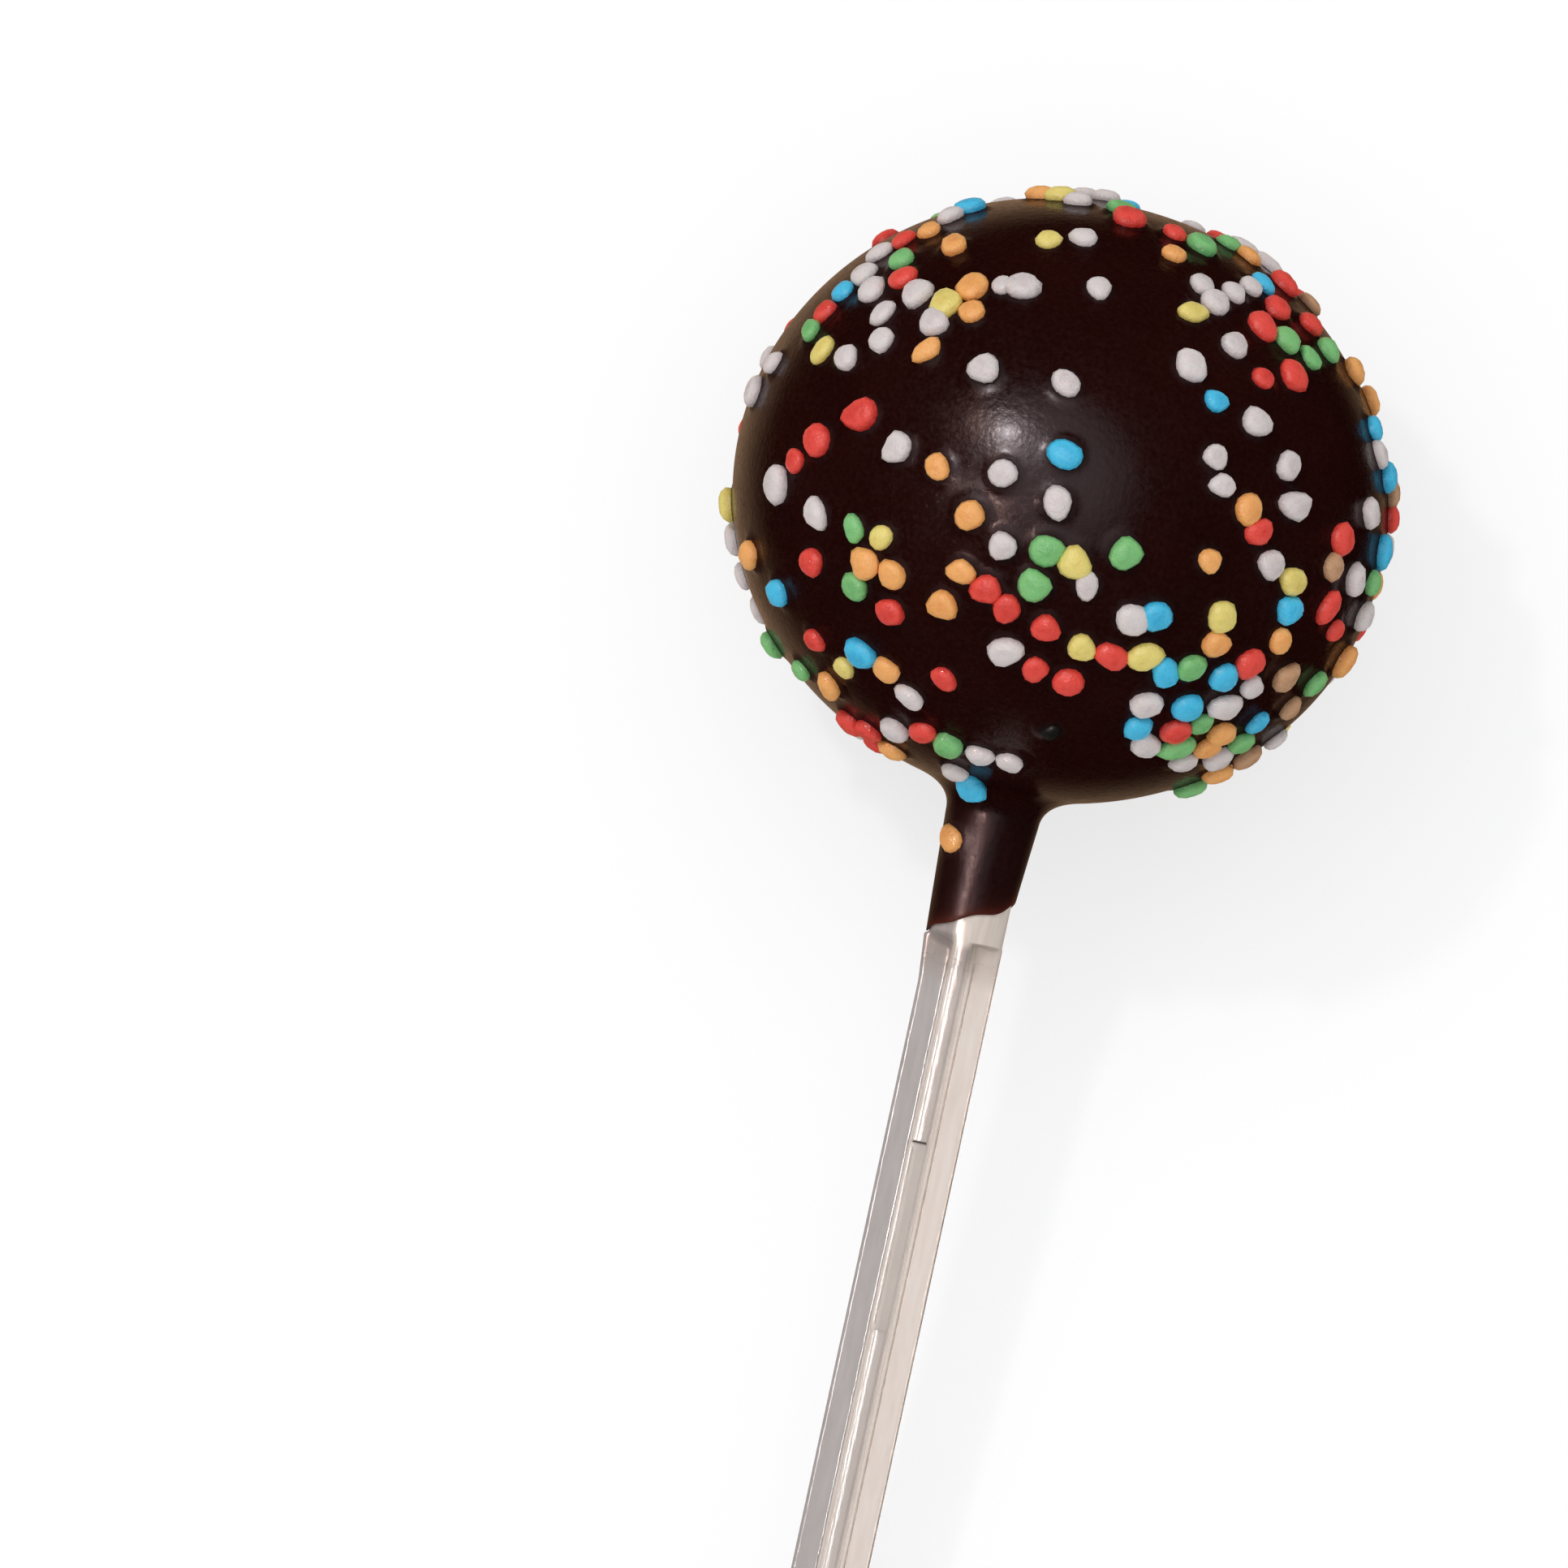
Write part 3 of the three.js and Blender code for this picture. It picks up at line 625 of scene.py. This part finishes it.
def plus_outline(reach, tip_half, tip_drop):
    """The plus-shaped section at each station: for each of four ribs an arc round both corners
    of its tip and one round the root after it. reach, tip_half and tip_drop are each rib's reach,
    half thickness at its tip, and how much the tip falls from its middle to its second corner,
    one row for each station."""
    tip = RIB_TIP_ROUNDING
    root = RIB_ROOT_ROUNDING
    root_centre = RIB_THICKNESS / 2 + root
    quarter = np.linspace(0, math.pi / 2, CORNER_STEPS + 1)
    share = np.array(FLAT_POINTS)
    ribs = []
    for rib in range(4):
        far = reach[:, rib, None] - tip
        side = tip_half[:, rib, None] - tip
        low = np.stack([far + tip * np.sin(quarter), -side - tip * np.cos(quarter)], -1)
        drop = tip_drop[:, rib, None]
        high = np.stack([far - drop + tip * np.cos(quarter), side + tip * np.sin(quarter)], -1)
        fall = drop * np.clip(2 * share - 1, 0, 1)
        crest = np.stack([far + tip - fall, side * (2 * share - 1)], -1)
        hollow = root_centre - root * np.stack([np.sin(quarter), np.cos(quarter)], -1)
        hollow = np.broadcast_to(hollow, (len(reach),) + hollow.shape)
        corner = np.concatenate([low, crest, high, hollow], 1)
        turn = rib * math.pi / 2
        across = corner[..., 0] * math.cos(turn) - corner[..., 1] * math.sin(turn)
        up = corner[..., 0] * math.sin(turn) + corner[..., 1] * math.cos(turn)
        ribs.append(np.stack([across, up], -1))
    outline = with_flats(np.concatenate(ribs, 1), root_end=corner.shape[1] - 1)
    return outline[:, ::-1]


def with_flats(outline, root_end):
    """Three more points on every rib's sides, so that their shading stays flat between the round
    ends: after the root's last point and after the tip's last point before it."""
    after = np.roll(outline, -1, axis=1)
    tip_end = root_end - CORNER_STEPS - 1
    columns = []
    for i in range(outline.shape[1]):
        columns.append(outline[:, i])
        if i % (root_end + 1) in (tip_end, root_end):
            columns += [outline[:, i] + share * (after[:, i] - outline[:, i]) for share in FLAT_POINTS]
    return np.stack(columns, 1)


def stick_stations():
    """Heights along the stick: close together where the section changes."""
    shoulder_end = SHOULDER - SHOULDER_LENGTH / 2
    shoulder = np.linspace(RIDGES_FROM, shoulder_end, SHOULDER_STATIONS)
    flare = np.linspace(shoulder_end, SHOULDER - FLARE_LENGTH, FLARE_STATIONS)[1:]
    pad_half = PAD_WIDTH / 2
    steps = np.linspace(0, 1, ROUND_END_STATIONS)
    pad_top = PAD_TOP - pad_half * (1 - np.cos(steps * math.pi / 2))
    pad_end = PAD_END + pad_half * (1 - np.sin(steps * math.pi / 2))
    above = [[HEAD_TOP, HEAD_STATION], shoulder, flare, np.linspace(*ABOVE_PAD)]
    pad = [[PAD_TOP + PAD_STEP / 2], pad_top, np.linspace(*ON_PAD), pad_end]
    below = [np.linspace(*BELOW_PAD), [STICK_END]]
    return np.concatenate(above + pad + below)


def ridged_head(plus, height):
    """The head's circle with the sideways angles of the plus. Where the front and the left rib
    reach further out, the circle widens to them, from a little below the rim downwards."""
    circle = unit(plus) * HEAD_RADIUS
    across, up = plus[..., 0], plus[..., 1]
    top = RIM_MIDDLE + rim_slant(across) - RIDGES_BELOW_RIM
    wider = np.linalg.norm(plus, axis=-1) > HEAD_RADIUS
    ridge = wider & (across < RIB_THICKNESS) & (up > -RIB_THICKNESS)
    share = smooth_step((np.maximum(top, LOWEST_RIDGE_TOP) - height[:, None]) / SHOULDER_LENGTH + 0.5)
    return circle + (share * ridge)[..., None] * (plus - circle)


def plus_sections(height):
    """The plus at each height. The front rib's tip slants to the left, the pad raises, widens and
    levels it, and the flare widens the left rib."""
    reach = np.full((len(height), 4), RIB_REACH)
    tip_half = np.full((len(height), 4), RIB_THICKNESS / 2)
    front, left = 1, 2
    fade = np.clip(1 - (SHOULDER - height) / FLARE_LENGTH, 0, 1)
    reach[:, left] += FLARE_WIDTH * fade
    pad_half = PAD_WIDTH / 2
    past_round = np.maximum(height - (PAD_TOP - pad_half), (PAD_END + pad_half) - height)
    round_end = 1 - np.clip(past_round / pad_half, 0, 1) ** 2
    on_pad = np.sqrt(round_end)
    reach[:, front] += PAD_HEIGHT * smooth_step(on_pad * 2)
    tip_half[:, front] += (pad_half - RIB_THICKNESS / 2) * on_pad
    tip_drop = np.zeros_like(reach)
    tip_drop[:, front] = FRONT_DROP * (1 - on_pad)
    return plus_outline(reach, tip_half, tip_drop)


def stick_looks(section, y, share):
    """Numbers for the finish at each point: one for painted shade, 1 in the left rib and along the
    front rib's crest; step, 1 on the crest at the pad's top, where a painted shadow darkens the step;
    and frost, how milky the plastic is."""
    across, up = section[..., 0], section[..., 1]
    left_rib = smooth_step((-across - RIB_THICKNESS / 2) / LEFT_RIB_FADE)
    along_crest = smooth_step((across - SHADE_FROM) / SHADE_FROM_FADE) * (up > RIB_THICKNESS / 2)
    along_crest = along_crest * smooth_step((SHADE_TO - across) / SHADE_TO_FADE)
    along_crest = along_crest * smooth_step((SHOULDER - y) / SHADE_TOP_FADE)
    # Painted shade: the left rib and a band along the front rib's crest are tinted darker grey.
    painted_shade = np.maximum(left_rib, along_crest)
    on_crest = (np.abs(across) < RIB_THICKNESS / 2 - PAD_STEP) & (up > RIB_REACH - RIB_TIP_ROUNDING)
    # A painted shadow: 1 on the crest at the pad's top step, where the finish turns dark.
    step = smooth_step((PAD_TOP - y) / (PAD_STEP / 2) + 1) * on_crest
    step = step * smooth_step((y - PAD_TOP) / PAD_STEP + 2)
    frost = np.maximum(1 - share, HEAD_MILK * smooth_step((y - SHOULDER) / MILK_LENGTH + 1))
    frost = np.maximum(frost, CREST_MILK * along_crest)
    frost[-1] = CUT_MILK
    frost = np.maximum(frost, step)
    return {"painted_shade": with_ends(painted_shade, 0.0, 0.0), "step": with_ends(step, 0.0, 0.0),
            "frost": with_ends(frost, 1.0, CUT_MILK)}


def stick():
    """The section carried along the stick, turned a little about it. At the shoulder it blends,
    point by point, from the head's section into the plus, more slowly in the left rib."""
    height = stick_stations()
    plus = plus_sections(height)
    head = ridged_head(plus, height)
    on_left = (plus[..., 0] < RIB_THICKNESS / 4) & (plus[..., 1] > 0)
    length = np.where(on_left, LEFT_SHOULDER_LENGTH, SHOULDER_LENGTH)
    share = smooth_step((SHOULDER - height[:, None]) / length + 0.5)
    section = head + share[..., None] * (plus - head)
    x = section[..., 0] * math.cos(STICK_ROLL) + section[..., 1] * math.sin(STICK_ROLL)
    z = section[..., 1] * math.cos(STICK_ROLL) - section[..., 0] * math.sin(STICK_ROLL)
    y = np.broadcast_to(height[:, None], x.shape)
    rings = np.stack([x, y, z], -1)
    ends = np.array([[0.0, HEAD_TOP, 0.0], [0.0, STICK_END, 0.0]])
    vertices = np.concatenate([ends[:1], rings.reshape(-1, 3), ends[1:]])
    quads, fans = grid_faces(*x.shape)
    faces = quads.tolist() + fans.tolist()
    piece = mesh_piece("clear_stick", lay_down(vertices), faces, stick_looks(section, y, share))
    piece.data.set_sharp_from_angle(angle=SHARP_ANGLE)
    return piece


# Materials.

class Wire:
    """One output of a node in a finish. Sums and products of wires add Math nodes."""

    def __init__(self, finish, socket):
        self.finish = finish
        self.socket = socket

    def __add__(self, other):
        return self.finish.maths("ADD", self, other)

    def __sub__(self, other):
        return self.finish.maths("SUBTRACT", self, other)

    def __rsub__(self, other):
        return self.finish.maths("SUBTRACT", other, self)

    def __mul__(self, other):
        return self.finish.maths("MULTIPLY", self, other)

    __radd__ = __add__
    __rmul__ = __mul__


class Finish:
    """A material on one Principled shader, with helpers that add and join its nodes."""

    def __init__(self, name, **constants):
        self.material = bpy.data.materials.new(name)
        self.material.use_nodes = True
        self.tree = self.material.node_tree
        self.shader = self.tree.nodes["Principled BSDF"]
        for socket, value in constants.items():
            self.shader.inputs[socket.replace("_", " ")].default_value = value
        self.place = self.node("ShaderNodeTexCoord", output="Object")

    def node(self, kind, settings=None, inputs=None, output=0):
        """A node of a kind: its settings first, then values or wires for its inputs."""
        node = self.tree.nodes.new(kind)
        for key, value in (settings or {}).items():
            setattr(node, key, value)
        for key, value in (inputs or {}).items():
            self.join(node.inputs[key], value)
        return Wire(self, node.outputs[output])

    def join(self, socket, value):
        if isinstance(value, Wire):
            self.tree.links.new(value.socket, socket)
        else:
            socket.default_value = value

    def maths(self, operation, *values, clamp=False):
        settings = {"operation": operation, "use_clamp": clamp}
        return self.node("ShaderNodeMath", settings, dict(enumerate(values)))

    def mix(self, share, first, second):
        """The first colour at share 0 and the second at share 1."""
        settings = {"data_type": "RGBA", "clamp_factor": True}
        return self.node("ShaderNodeMix", settings, {0: share, 6: first, 7: second}, output=2)

    def noise(self, size, detail=2.0, place=None, contrast=1.0):
        """Cloudy noise with lumps of a size in millimetres, spread by the contrast about 0.5."""
        inputs = {"Vector": place or self.place, "Scale": 1 / (size * MM), "Detail": detail}
        wire = self.node("ShaderNodeTexNoise", None, inputs, output="Fac")
        return self.maths("ADD", (wire - 0.5) * contrast, 0.5, clamp=True)

    def pinholes(self, spacing, size, share):
        """1 in small round holes, 0 between them: one in each cell of a pattern with a spacing in
        millimetres, where the cell's own random number is above the share."""
        settings = {"feature": "F1"}
        inputs = {"Vector": self.place, "Scale": 1 / (spacing * MM)}
        distance = self.node("ShaderNodeTexVoronoi", settings, inputs, output="Distance")
        lot = self.node("ShaderNodeTexVoronoi", settings, inputs, output="Color")
        inside = self.maths("LESS_THAN", distance, size / spacing)
        return inside * self.maths("GREATER_THAN", lot, share)

    def value(self, name):
        """A number that the mesh holds for each vertex."""
        return self.node("ShaderNodeAttribute", {"attribute_name": name}, output="Fac")

    def bump(self, height, depth):
        """A normal from a height of 0 to 1 that stands for a depth in millimetres."""
        inputs = {"Height": height, "Distance": depth * MM, "Strength": 1.0}
        return self.node("ShaderNodeBump", None, inputs, output="Normal")

    def give(self, **wires):
        for socket, value in wires.items():
            self.join(self.shader.inputs[socket.replace("_", " ")], value)


def linear(red, green, blue):
    """A colour given as it looks, 0 to 255, as the shader's own numbers."""
    def one(value):
        share = value / 255
        return share / 12.92 if share <= 0.04045 else ((share + 0.055) / 1.055) ** 2.4
    return (one(red), one(green), one(blue), 1.0)


def chocolate_finish():
    """Dark chocolate: nearly black brown with a fine grain, redder where it is thin at the rim,
    with a broad soft gloss, a sharper one over it, slow ripples, fine orange peel and a few
    pinholes. It is softer down the collar and matt close to the sprinkles."""
    finish = Finish("dark chocolate", Specular_IOR_Level=0.4, Specular_Tint=(1.0, 0.84, 0.86, 1.0),
                    Coat_Roughness=0.15, Coat_IOR=1.5, IOR=1.46)
    cloud = finish.noise(size=5.0, detail=3.0, contrast=1.6)
    grain = finish.noise(size=0.3, contrast=2.0)
    dark = finish.mix(cloud * 0.5 + grain * 0.5, linear(25, 4, 3), linear(41, 11, 7))
    base = finish.mix(finish.value("thin") * 0.8, dark, linear(92, 34, 18))
    ripple = finish.noise(size=2.6)
    peel = finish.noise(size=0.4, detail=3.0, contrast=1.5)
    holes = finish.pinholes(spacing=1.7, size=0.1, share=0.6)
    patches = finish.noise(size=2.2, detail=3.0, contrast=1.5)
    collar = finish.value("collar")
    matt = finish.value("matt")
    relief = ripple * (0.75 + collar) + peel * 0.5 - holes * 0.9
    roughness = 0.12 + 0.1 * patches + 0.16 * grain + 0.11 * collar + 0.4 * matt
    coat = (0.1 + 0.1 * cloud) * (1 - matt) * (1 - collar)
    normal = finish.bump(relief, depth=0.03)
    finish.give(Base_Color=base, Roughness=roughness, Coat_Weight=coat, Normal=normal)
    return finish.material


# How far up a sprinkle its crown begins, as a share of its height.
CROWN_START = 0.75


def sugar_finish(name, lit_pale, shaded_deep):
    """Sugar sprinkles of one colour, with painted shade and painted light: deep low down as painted
    shade, pale round the shoulder as a painted rim light, and between the two on the crown; each one a
    little different, mottled, and with a fine sugary grain."""
    finish = Finish(name, Specular_IOR_Level=0.6, Subsurface_Weight=0.2, Subsurface_Scale=0.3 * MM)
    mottle = finish.noise(size=0.5, detail=3.0, contrast=1.8)
    rise = finish.value("rise")
    crown = finish.maths("MULTIPLY", rise - CROWN_START, 2.4, clamp=True)
    # Painted shade and light: by its rise the colour goes deep towards a sprinkle's foot and pale round
    # its shoulder, on top of its own tone and mottle.
    top = rise * 1.25 - crown * 1.05 + finish.value("tone") * 0.3 + mottle * 0.4 - 0.18
    colour = finish.mix(top, shaded_deep, lit_pale)
    grain = finish.noise(size=0.16, detail=3.0)
    relief = finish.noise(size=0.75) * 0.7 + grain * 0.3
    normal = finish.bump(relief, depth=0.2)
    finish.give(Base_Color=colour, Roughness=0.22 + 0.2 * mottle, Normal=normal)
    return finish.material


# How much longer than wide the plastic's flow lines are, as the pattern's scale along the stick,
# and the largest share of the milky shader.
FLOW_SCALE_ALONG = 0.06
MOST_MILK = 0.95


def stick_finish():
    """Clear moulded plastic: darker grey as painted shade in the left rib and along the front rib's
    crest, clearer elsewhere, beige and milky at the head, dark at the pad's step as a painted shadow,
    with faint flow lines along the stick. The milky share of it is a second shader, mixed in."""
    finish = Finish("clear plastic", Transmission_Weight=1.0, IOR=1.49)
    inputs = {"Vector": finish.place, "Rotation": (-SLOPE, 0, 0), "Scale": (1, FLOW_SCALE_ALONG, 1)}
    stretched = finish.node("ShaderNodeMapping", None, inputs)
    flow = finish.noise(size=0.5, place=stretched, contrast=1.4)
    clear = finish.mix(flow, linear(214, 199, 188), linear(231, 221, 213))
    # The darker grey used as painted shade.
    painted_shade = finish.mix(flow, linear(164, 156, 152), linear(186, 178, 175))
    frost = finish.value("frost")
    shade_share = finish.value("painted_shade")
    tint = finish.mix(frost, finish.mix(shade_share, clear, painted_shade), linear(210, 194, 180))
    roughness = 0.04 + 0.07 * flow + 0.36 * frost
    finish.give(Base_Color=tint, Roughness=roughness, Normal=finish.bump(flow, depth=0.012))
    pale_milk = finish.mix(flow, linear(214, 200, 187), linear(240, 227, 215))
    # The milky grey used as painted shade.
    shaded_milk = finish.mix(flow, linear(160, 148, 142), linear(184, 172, 166))
    milk_tint = finish.mix(shade_share, pale_milk, shaded_milk)
    # Painted shadow: dark at the pad's step.
    milk_tint = finish.mix(finish.value("step"), milk_tint, linear(74, 66, 60))
    inputs = {"Base Color": milk_tint, "Roughness": 0.16}
    milk = finish.node("ShaderNodeBsdfPrincipled", None, inputs, output="BSDF")
    clear_part = Wire(finish, finish.shader.outputs["BSDF"])
    inputs = {0: frost * MOST_MILK, 1: clear_part, 2: milk}
    both = finish.node("ShaderNodeMixShader", None, inputs, output="Shader")
    finish.join(finish.tree.nodes["Material Output"].inputs["Surface"], both)
    return finish.material


# Letter, piece, slot, and the paler colour, also used as painted light round a sprinkle's shoulder, and
# the deeper colour, also used as painted shade low down, of each kind of sprinkle.
SUGARS = [
    ["W", "sprinkles_white", "sugar_white", (221, 212, 209), (182, 166, 165)],
    ["R", "sprinkles_red", "sugar_red", (236, 78, 66), (178, 28, 24)],
    ["O", "sprinkles_orange", "sugar_orange", (247, 178, 104), (210, 128, 58)],
    ["Y", "sprinkles_yellow", "sugar_yellow", (235, 217, 124), (197, 167, 72)],
    ["G", "sprinkles_green", "sugar_green", (132, 200, 126), (76, 144, 82)],
    ["B", "sprinkles_blue", "sugar_blue", (74, 196, 234), (34, 146, 192)],
    ["C", "sprinkles_coated", "coated_sugar", (200, 156, 118), (126, 86, 58)],
    ["D", "sprinkles_dark", "coated_sugar", (24, 26, 22), (14, 6, 4)],
]


def build_object():
    """Every piece of the cake pop, riding on the frame's one body."""
    sprinkles = all_sprinkles()
    body = chocolate(sprinkles)
    body.data.materials.append(chocolate_finish())
    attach(body, "root")
    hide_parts("coating")
    for i, (letter, name, slot, lit_pale, shaded_deep) in enumerate(SUGARS):
        chosen = [one for one in sprinkles if one["letter"] == letter]
        piece = sprinkle_piece(name, chosen, SEED + SEEDS_APART * i)
        piece.data.materials.append(sugar_finish(slot, linear(*lit_pale), linear(*shaded_deep)))
        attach(piece, "root")
        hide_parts("coating")
    clear = stick()
    clear.data.materials.append(stick_finish())
    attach(clear, "root")
    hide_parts("stick")


# The camera looks straight at the shown side, square to the stick, and is turned so that the
# pop leans to the right. PICTURE pixels are the photograph's own.
PICTURE = 1932
CENTRE_PIXEL = (1307, 617)
PIXELS_PER_MM = 20.25
LEAN = math.radians(12.2)
CAMERA_DISTANCE = 3000.0
SENSOR = 36.0

ACROSS = np.array([1.0, 0.0, 0.0])
ALONG = np.array([0.0, math.cos(SLOPE), math.sin(SLOPE)])
TOWARDS = np.array([0.0, -math.sin(SLOPE), math.cos(SLOPE)])
RIGHT = math.cos(LEAN) * ACROSS + math.sin(LEAN) * ALONG
UP = math.cos(LEAN) * ALONG - math.sin(LEAN) * ACROSS
BALL_CENTRE = np.array([0.0, 0.0, CENTRE_HEIGHT])


def placed(thing, place, right, up, back):
    """Adds an object to the scene at a place in millimetres, with its own X, Y and Z along three
    directions."""
    matrix = np.eye(4)
    matrix[:3, 0] = right
    matrix[:3, 1] = up
    matrix[:3, 2] = back
    matrix[:3, 3] = np.asarray(place) * MM
    thing.matrix_world = Matrix(matrix.tolist())
    bpy.context.scene.collection.objects.link(thing)
    return thing


def camera():
    data = bpy.data.cameras.new("camera")
    data.sensor_width = SENSOR
    data.lens = PIXELS_PER_MM * CAMERA_DISTANCE * SENSOR / PICTURE
    data.clip_start = 10 * MM
    right_offset = (CENTRE_PIXEL[0] - PICTURE / 2) / PIXELS_PER_MM
    up_offset = (PICTURE / 2 - CENTRE_PIXEL[1]) / PIXELS_PER_MM
    aim = BALL_CENTRE - right_offset * RIGHT - up_offset * UP
    eye = aim + CAMERA_DISTANCE * TOWARDS
    thing = placed(bpy.data.objects.new("camera", data), eye, RIGHT, UP, TOWARDS)
    bpy.context.scene.camera = thing


def lamp(name, right, up, distance, width, height, watts, colour,
         aim=BALL_CENTRE, spread=180, only_gloss=False):
    """A soft light aimed at the ball or at another place. It mirrors in a surface there that leans
    by right and up towards the camera's right and up. Its beam fans out by the spread. One for
    gloss alone shows as a mirrored streak and doesn't brighten anything else."""
    lean = right * RIGHT + up * UP + math.sqrt(1 - right ** 2 - up ** 2) * TOWARDS
    direction = 2 * np.dot(lean, TOWARDS) * lean - TOWARDS
    data = bpy.data.lights.new(name, "AREA")
    data.shape = "ELLIPSE"
    data.size = width * MM
    data.size_y = height * MM
    data.energy = watts
    data.color = colour
    data.spread = math.radians(spread)
    side = unit(np.cross(UP, direction))
    above = np.cross(direction, side)
    thing = placed(bpy.data.objects.new(name, data), aim + distance * direction, side, above, direction)
    thing.visible_diffuse = not only_gloss


# Lamps aimed at the ball: lean to the right and up of the surface that mirrors each one, width,
# height, watts and colour.
BALL_LIGHT_DISTANCE = 500
BALL_LIGHTS = [
    ["wide light", -0.03, 0.1, 530, 650, 0.4, (0.96, 0.97, 1.0)],
    ["soft light", -0.04, 0.11, 370, 460, 0.18, (0.96, 0.97, 1.0)],
    ["middle light", -0.15, 0.19, 120, 180, 0.1, (0.94, 0.96, 1.0)],
    ["key light", -0.163, 0.225, 29, 33, 0.31, (1.0, 0.96, 0.97)],
    ["warm light", -0.245, 0.25, 34, 90, 0.045, (1.0, 0.62, 0.42)],
    ["side light", -0.30, 0.015, 34, 90, 0.04, (1.0, 0.8, 0.7)],
]

# Lamps for a streak of gloss on the collar and on the stick: the same, then the height along the
# pop that each one is aimed at, and the spread of its beam in degrees.
GLOSS_LIGHT_DISTANCE = 300
GLOSS_LIGHTS = [
    ["collar light", -0.22, 0.01, 50, 30, 0.0016, (1.0, 0.7, 0.62), -22.5, 7],
    ["stick light", -0.258, 0.056, 30, 70, 0.0011, (0.98, 0.99, 1.0), -47.0, 10],
]


def lights():
    """The lamps for the ball, then those for the streaks of gloss."""
    for name, right, up, width, height, watts, colour in BALL_LIGHTS:
        lamp(name, right, up, BALL_LIGHT_DISTANCE, width, height, watts, colour)
    for name, right, up, width, height, watts, colour, along, spread in GLOSS_LIGHTS:
        aim = BALL_CENTRE + along * ALONG
        lamp(name, right, up, GLOSS_LIGHT_DISTANCE, width, height, watts, colour,
             aim, spread, only_gloss=True)


# The stage. Colours are the shader's own numbers. Sizes are in millimetres, apart from the
# glow's middle, which is in metres.
SQUARE = np.array([[-1, -1, 0], [1, -1, 0], [1, 1, 0], [-1, 1, 0]])
SQUARE_FACES = [[0, 1, 2, 3]]
BLACK = (0, 0, 0, 1)
WHITE = (1, 1, 1, 1)
FLOOR_HALF_WIDTH = 3000
FLOOR_COLOUR = (0.42, 0.42, 0.42, 1)
FLOOR_GLOW = 0.63
GLOW_COLOUR = (0.4, 0.25, 0.15, 1)
GLOW_MIDDLE = (-8 * MM, 8 * MM, 0)
GLOW_CENTRE = 24.0
GLOW_EDGE = 46.0
GLOW_BELOW_FLOOR = np.array([0, 0, 1])
AIR_COLOUR = (0.92, 0.93, 0.95, 1)
AIR_STRENGTH = 0.69


def pale_floor():
    """A floor that also glows faintly, so that shadows on it stay light."""
    floor = mesh_piece("floor", SQUARE * FLOOR_HALF_WIDTH * MM, SQUARE_FACES)
    finish = Finish("floor", Roughness=0.9, Specular_IOR_Level=0.1)
    finish.give(Base_Color=FLOOR_COLOUR, Emission_Color=WHITE, Emission_Strength=FLOOR_GLOW)
    floor.data.materials.append(finish.material)
    floor.visible_glossy = False


def warm_glow():
    """The chocolate would mirror the floor as a grey veil, so glossy surfaces see this instead: a
    glow just below the floor that fades out not far from the ball."""
    corners = (SQUARE * 3 * GLOW_EDGE - GLOW_BELOW_FLOOR) * MM
    glow = mesh_piece("glow", corners, SQUARE_FACES)
    finish = Finish("glow", Base_Color=BLACK, Roughness=1.0, Specular_IOR_Level=0.0,
                    Emission_Strength=1.0)
    inputs = {0: finish.place, 1: GLOW_MIDDLE}
    reach = finish.node("ShaderNodeVectorMath", {"operation": "DISTANCE"}, inputs, output="Value")
    past_centre = reach - GLOW_CENTRE * MM
    fade = finish.maths("DIVIDE", past_centre, (GLOW_EDGE - GLOW_CENTRE) * MM, clamp=True)
    finish.give(Emission_Color=finish.mix(fade, GLOW_COLOUR, BLACK))
    glow.data.materials.append(finish.material)
    glow.visible_camera = False
    glow.visible_diffuse = False
    glow.visible_transmission = False
    glow.visible_shadow = False


def air():
    """Pale air that lights everything but isn't mirrored."""
    world = bpy.data.worlds.new("air")
    bpy.context.scene.world = world
    world.use_nodes = True
    background = world.node_tree.nodes["Background"]
    background.inputs["Color"].default_value = AIR_COLOUR
    background.inputs["Strength"].default_value = AIR_STRENGTH
    world.cycles_visibility.glossy = False
    bpy.context.scene.view_settings.view_transform = "Standard"


build_object()
camera()
lights()
pale_floor()
warm_glow()
air()
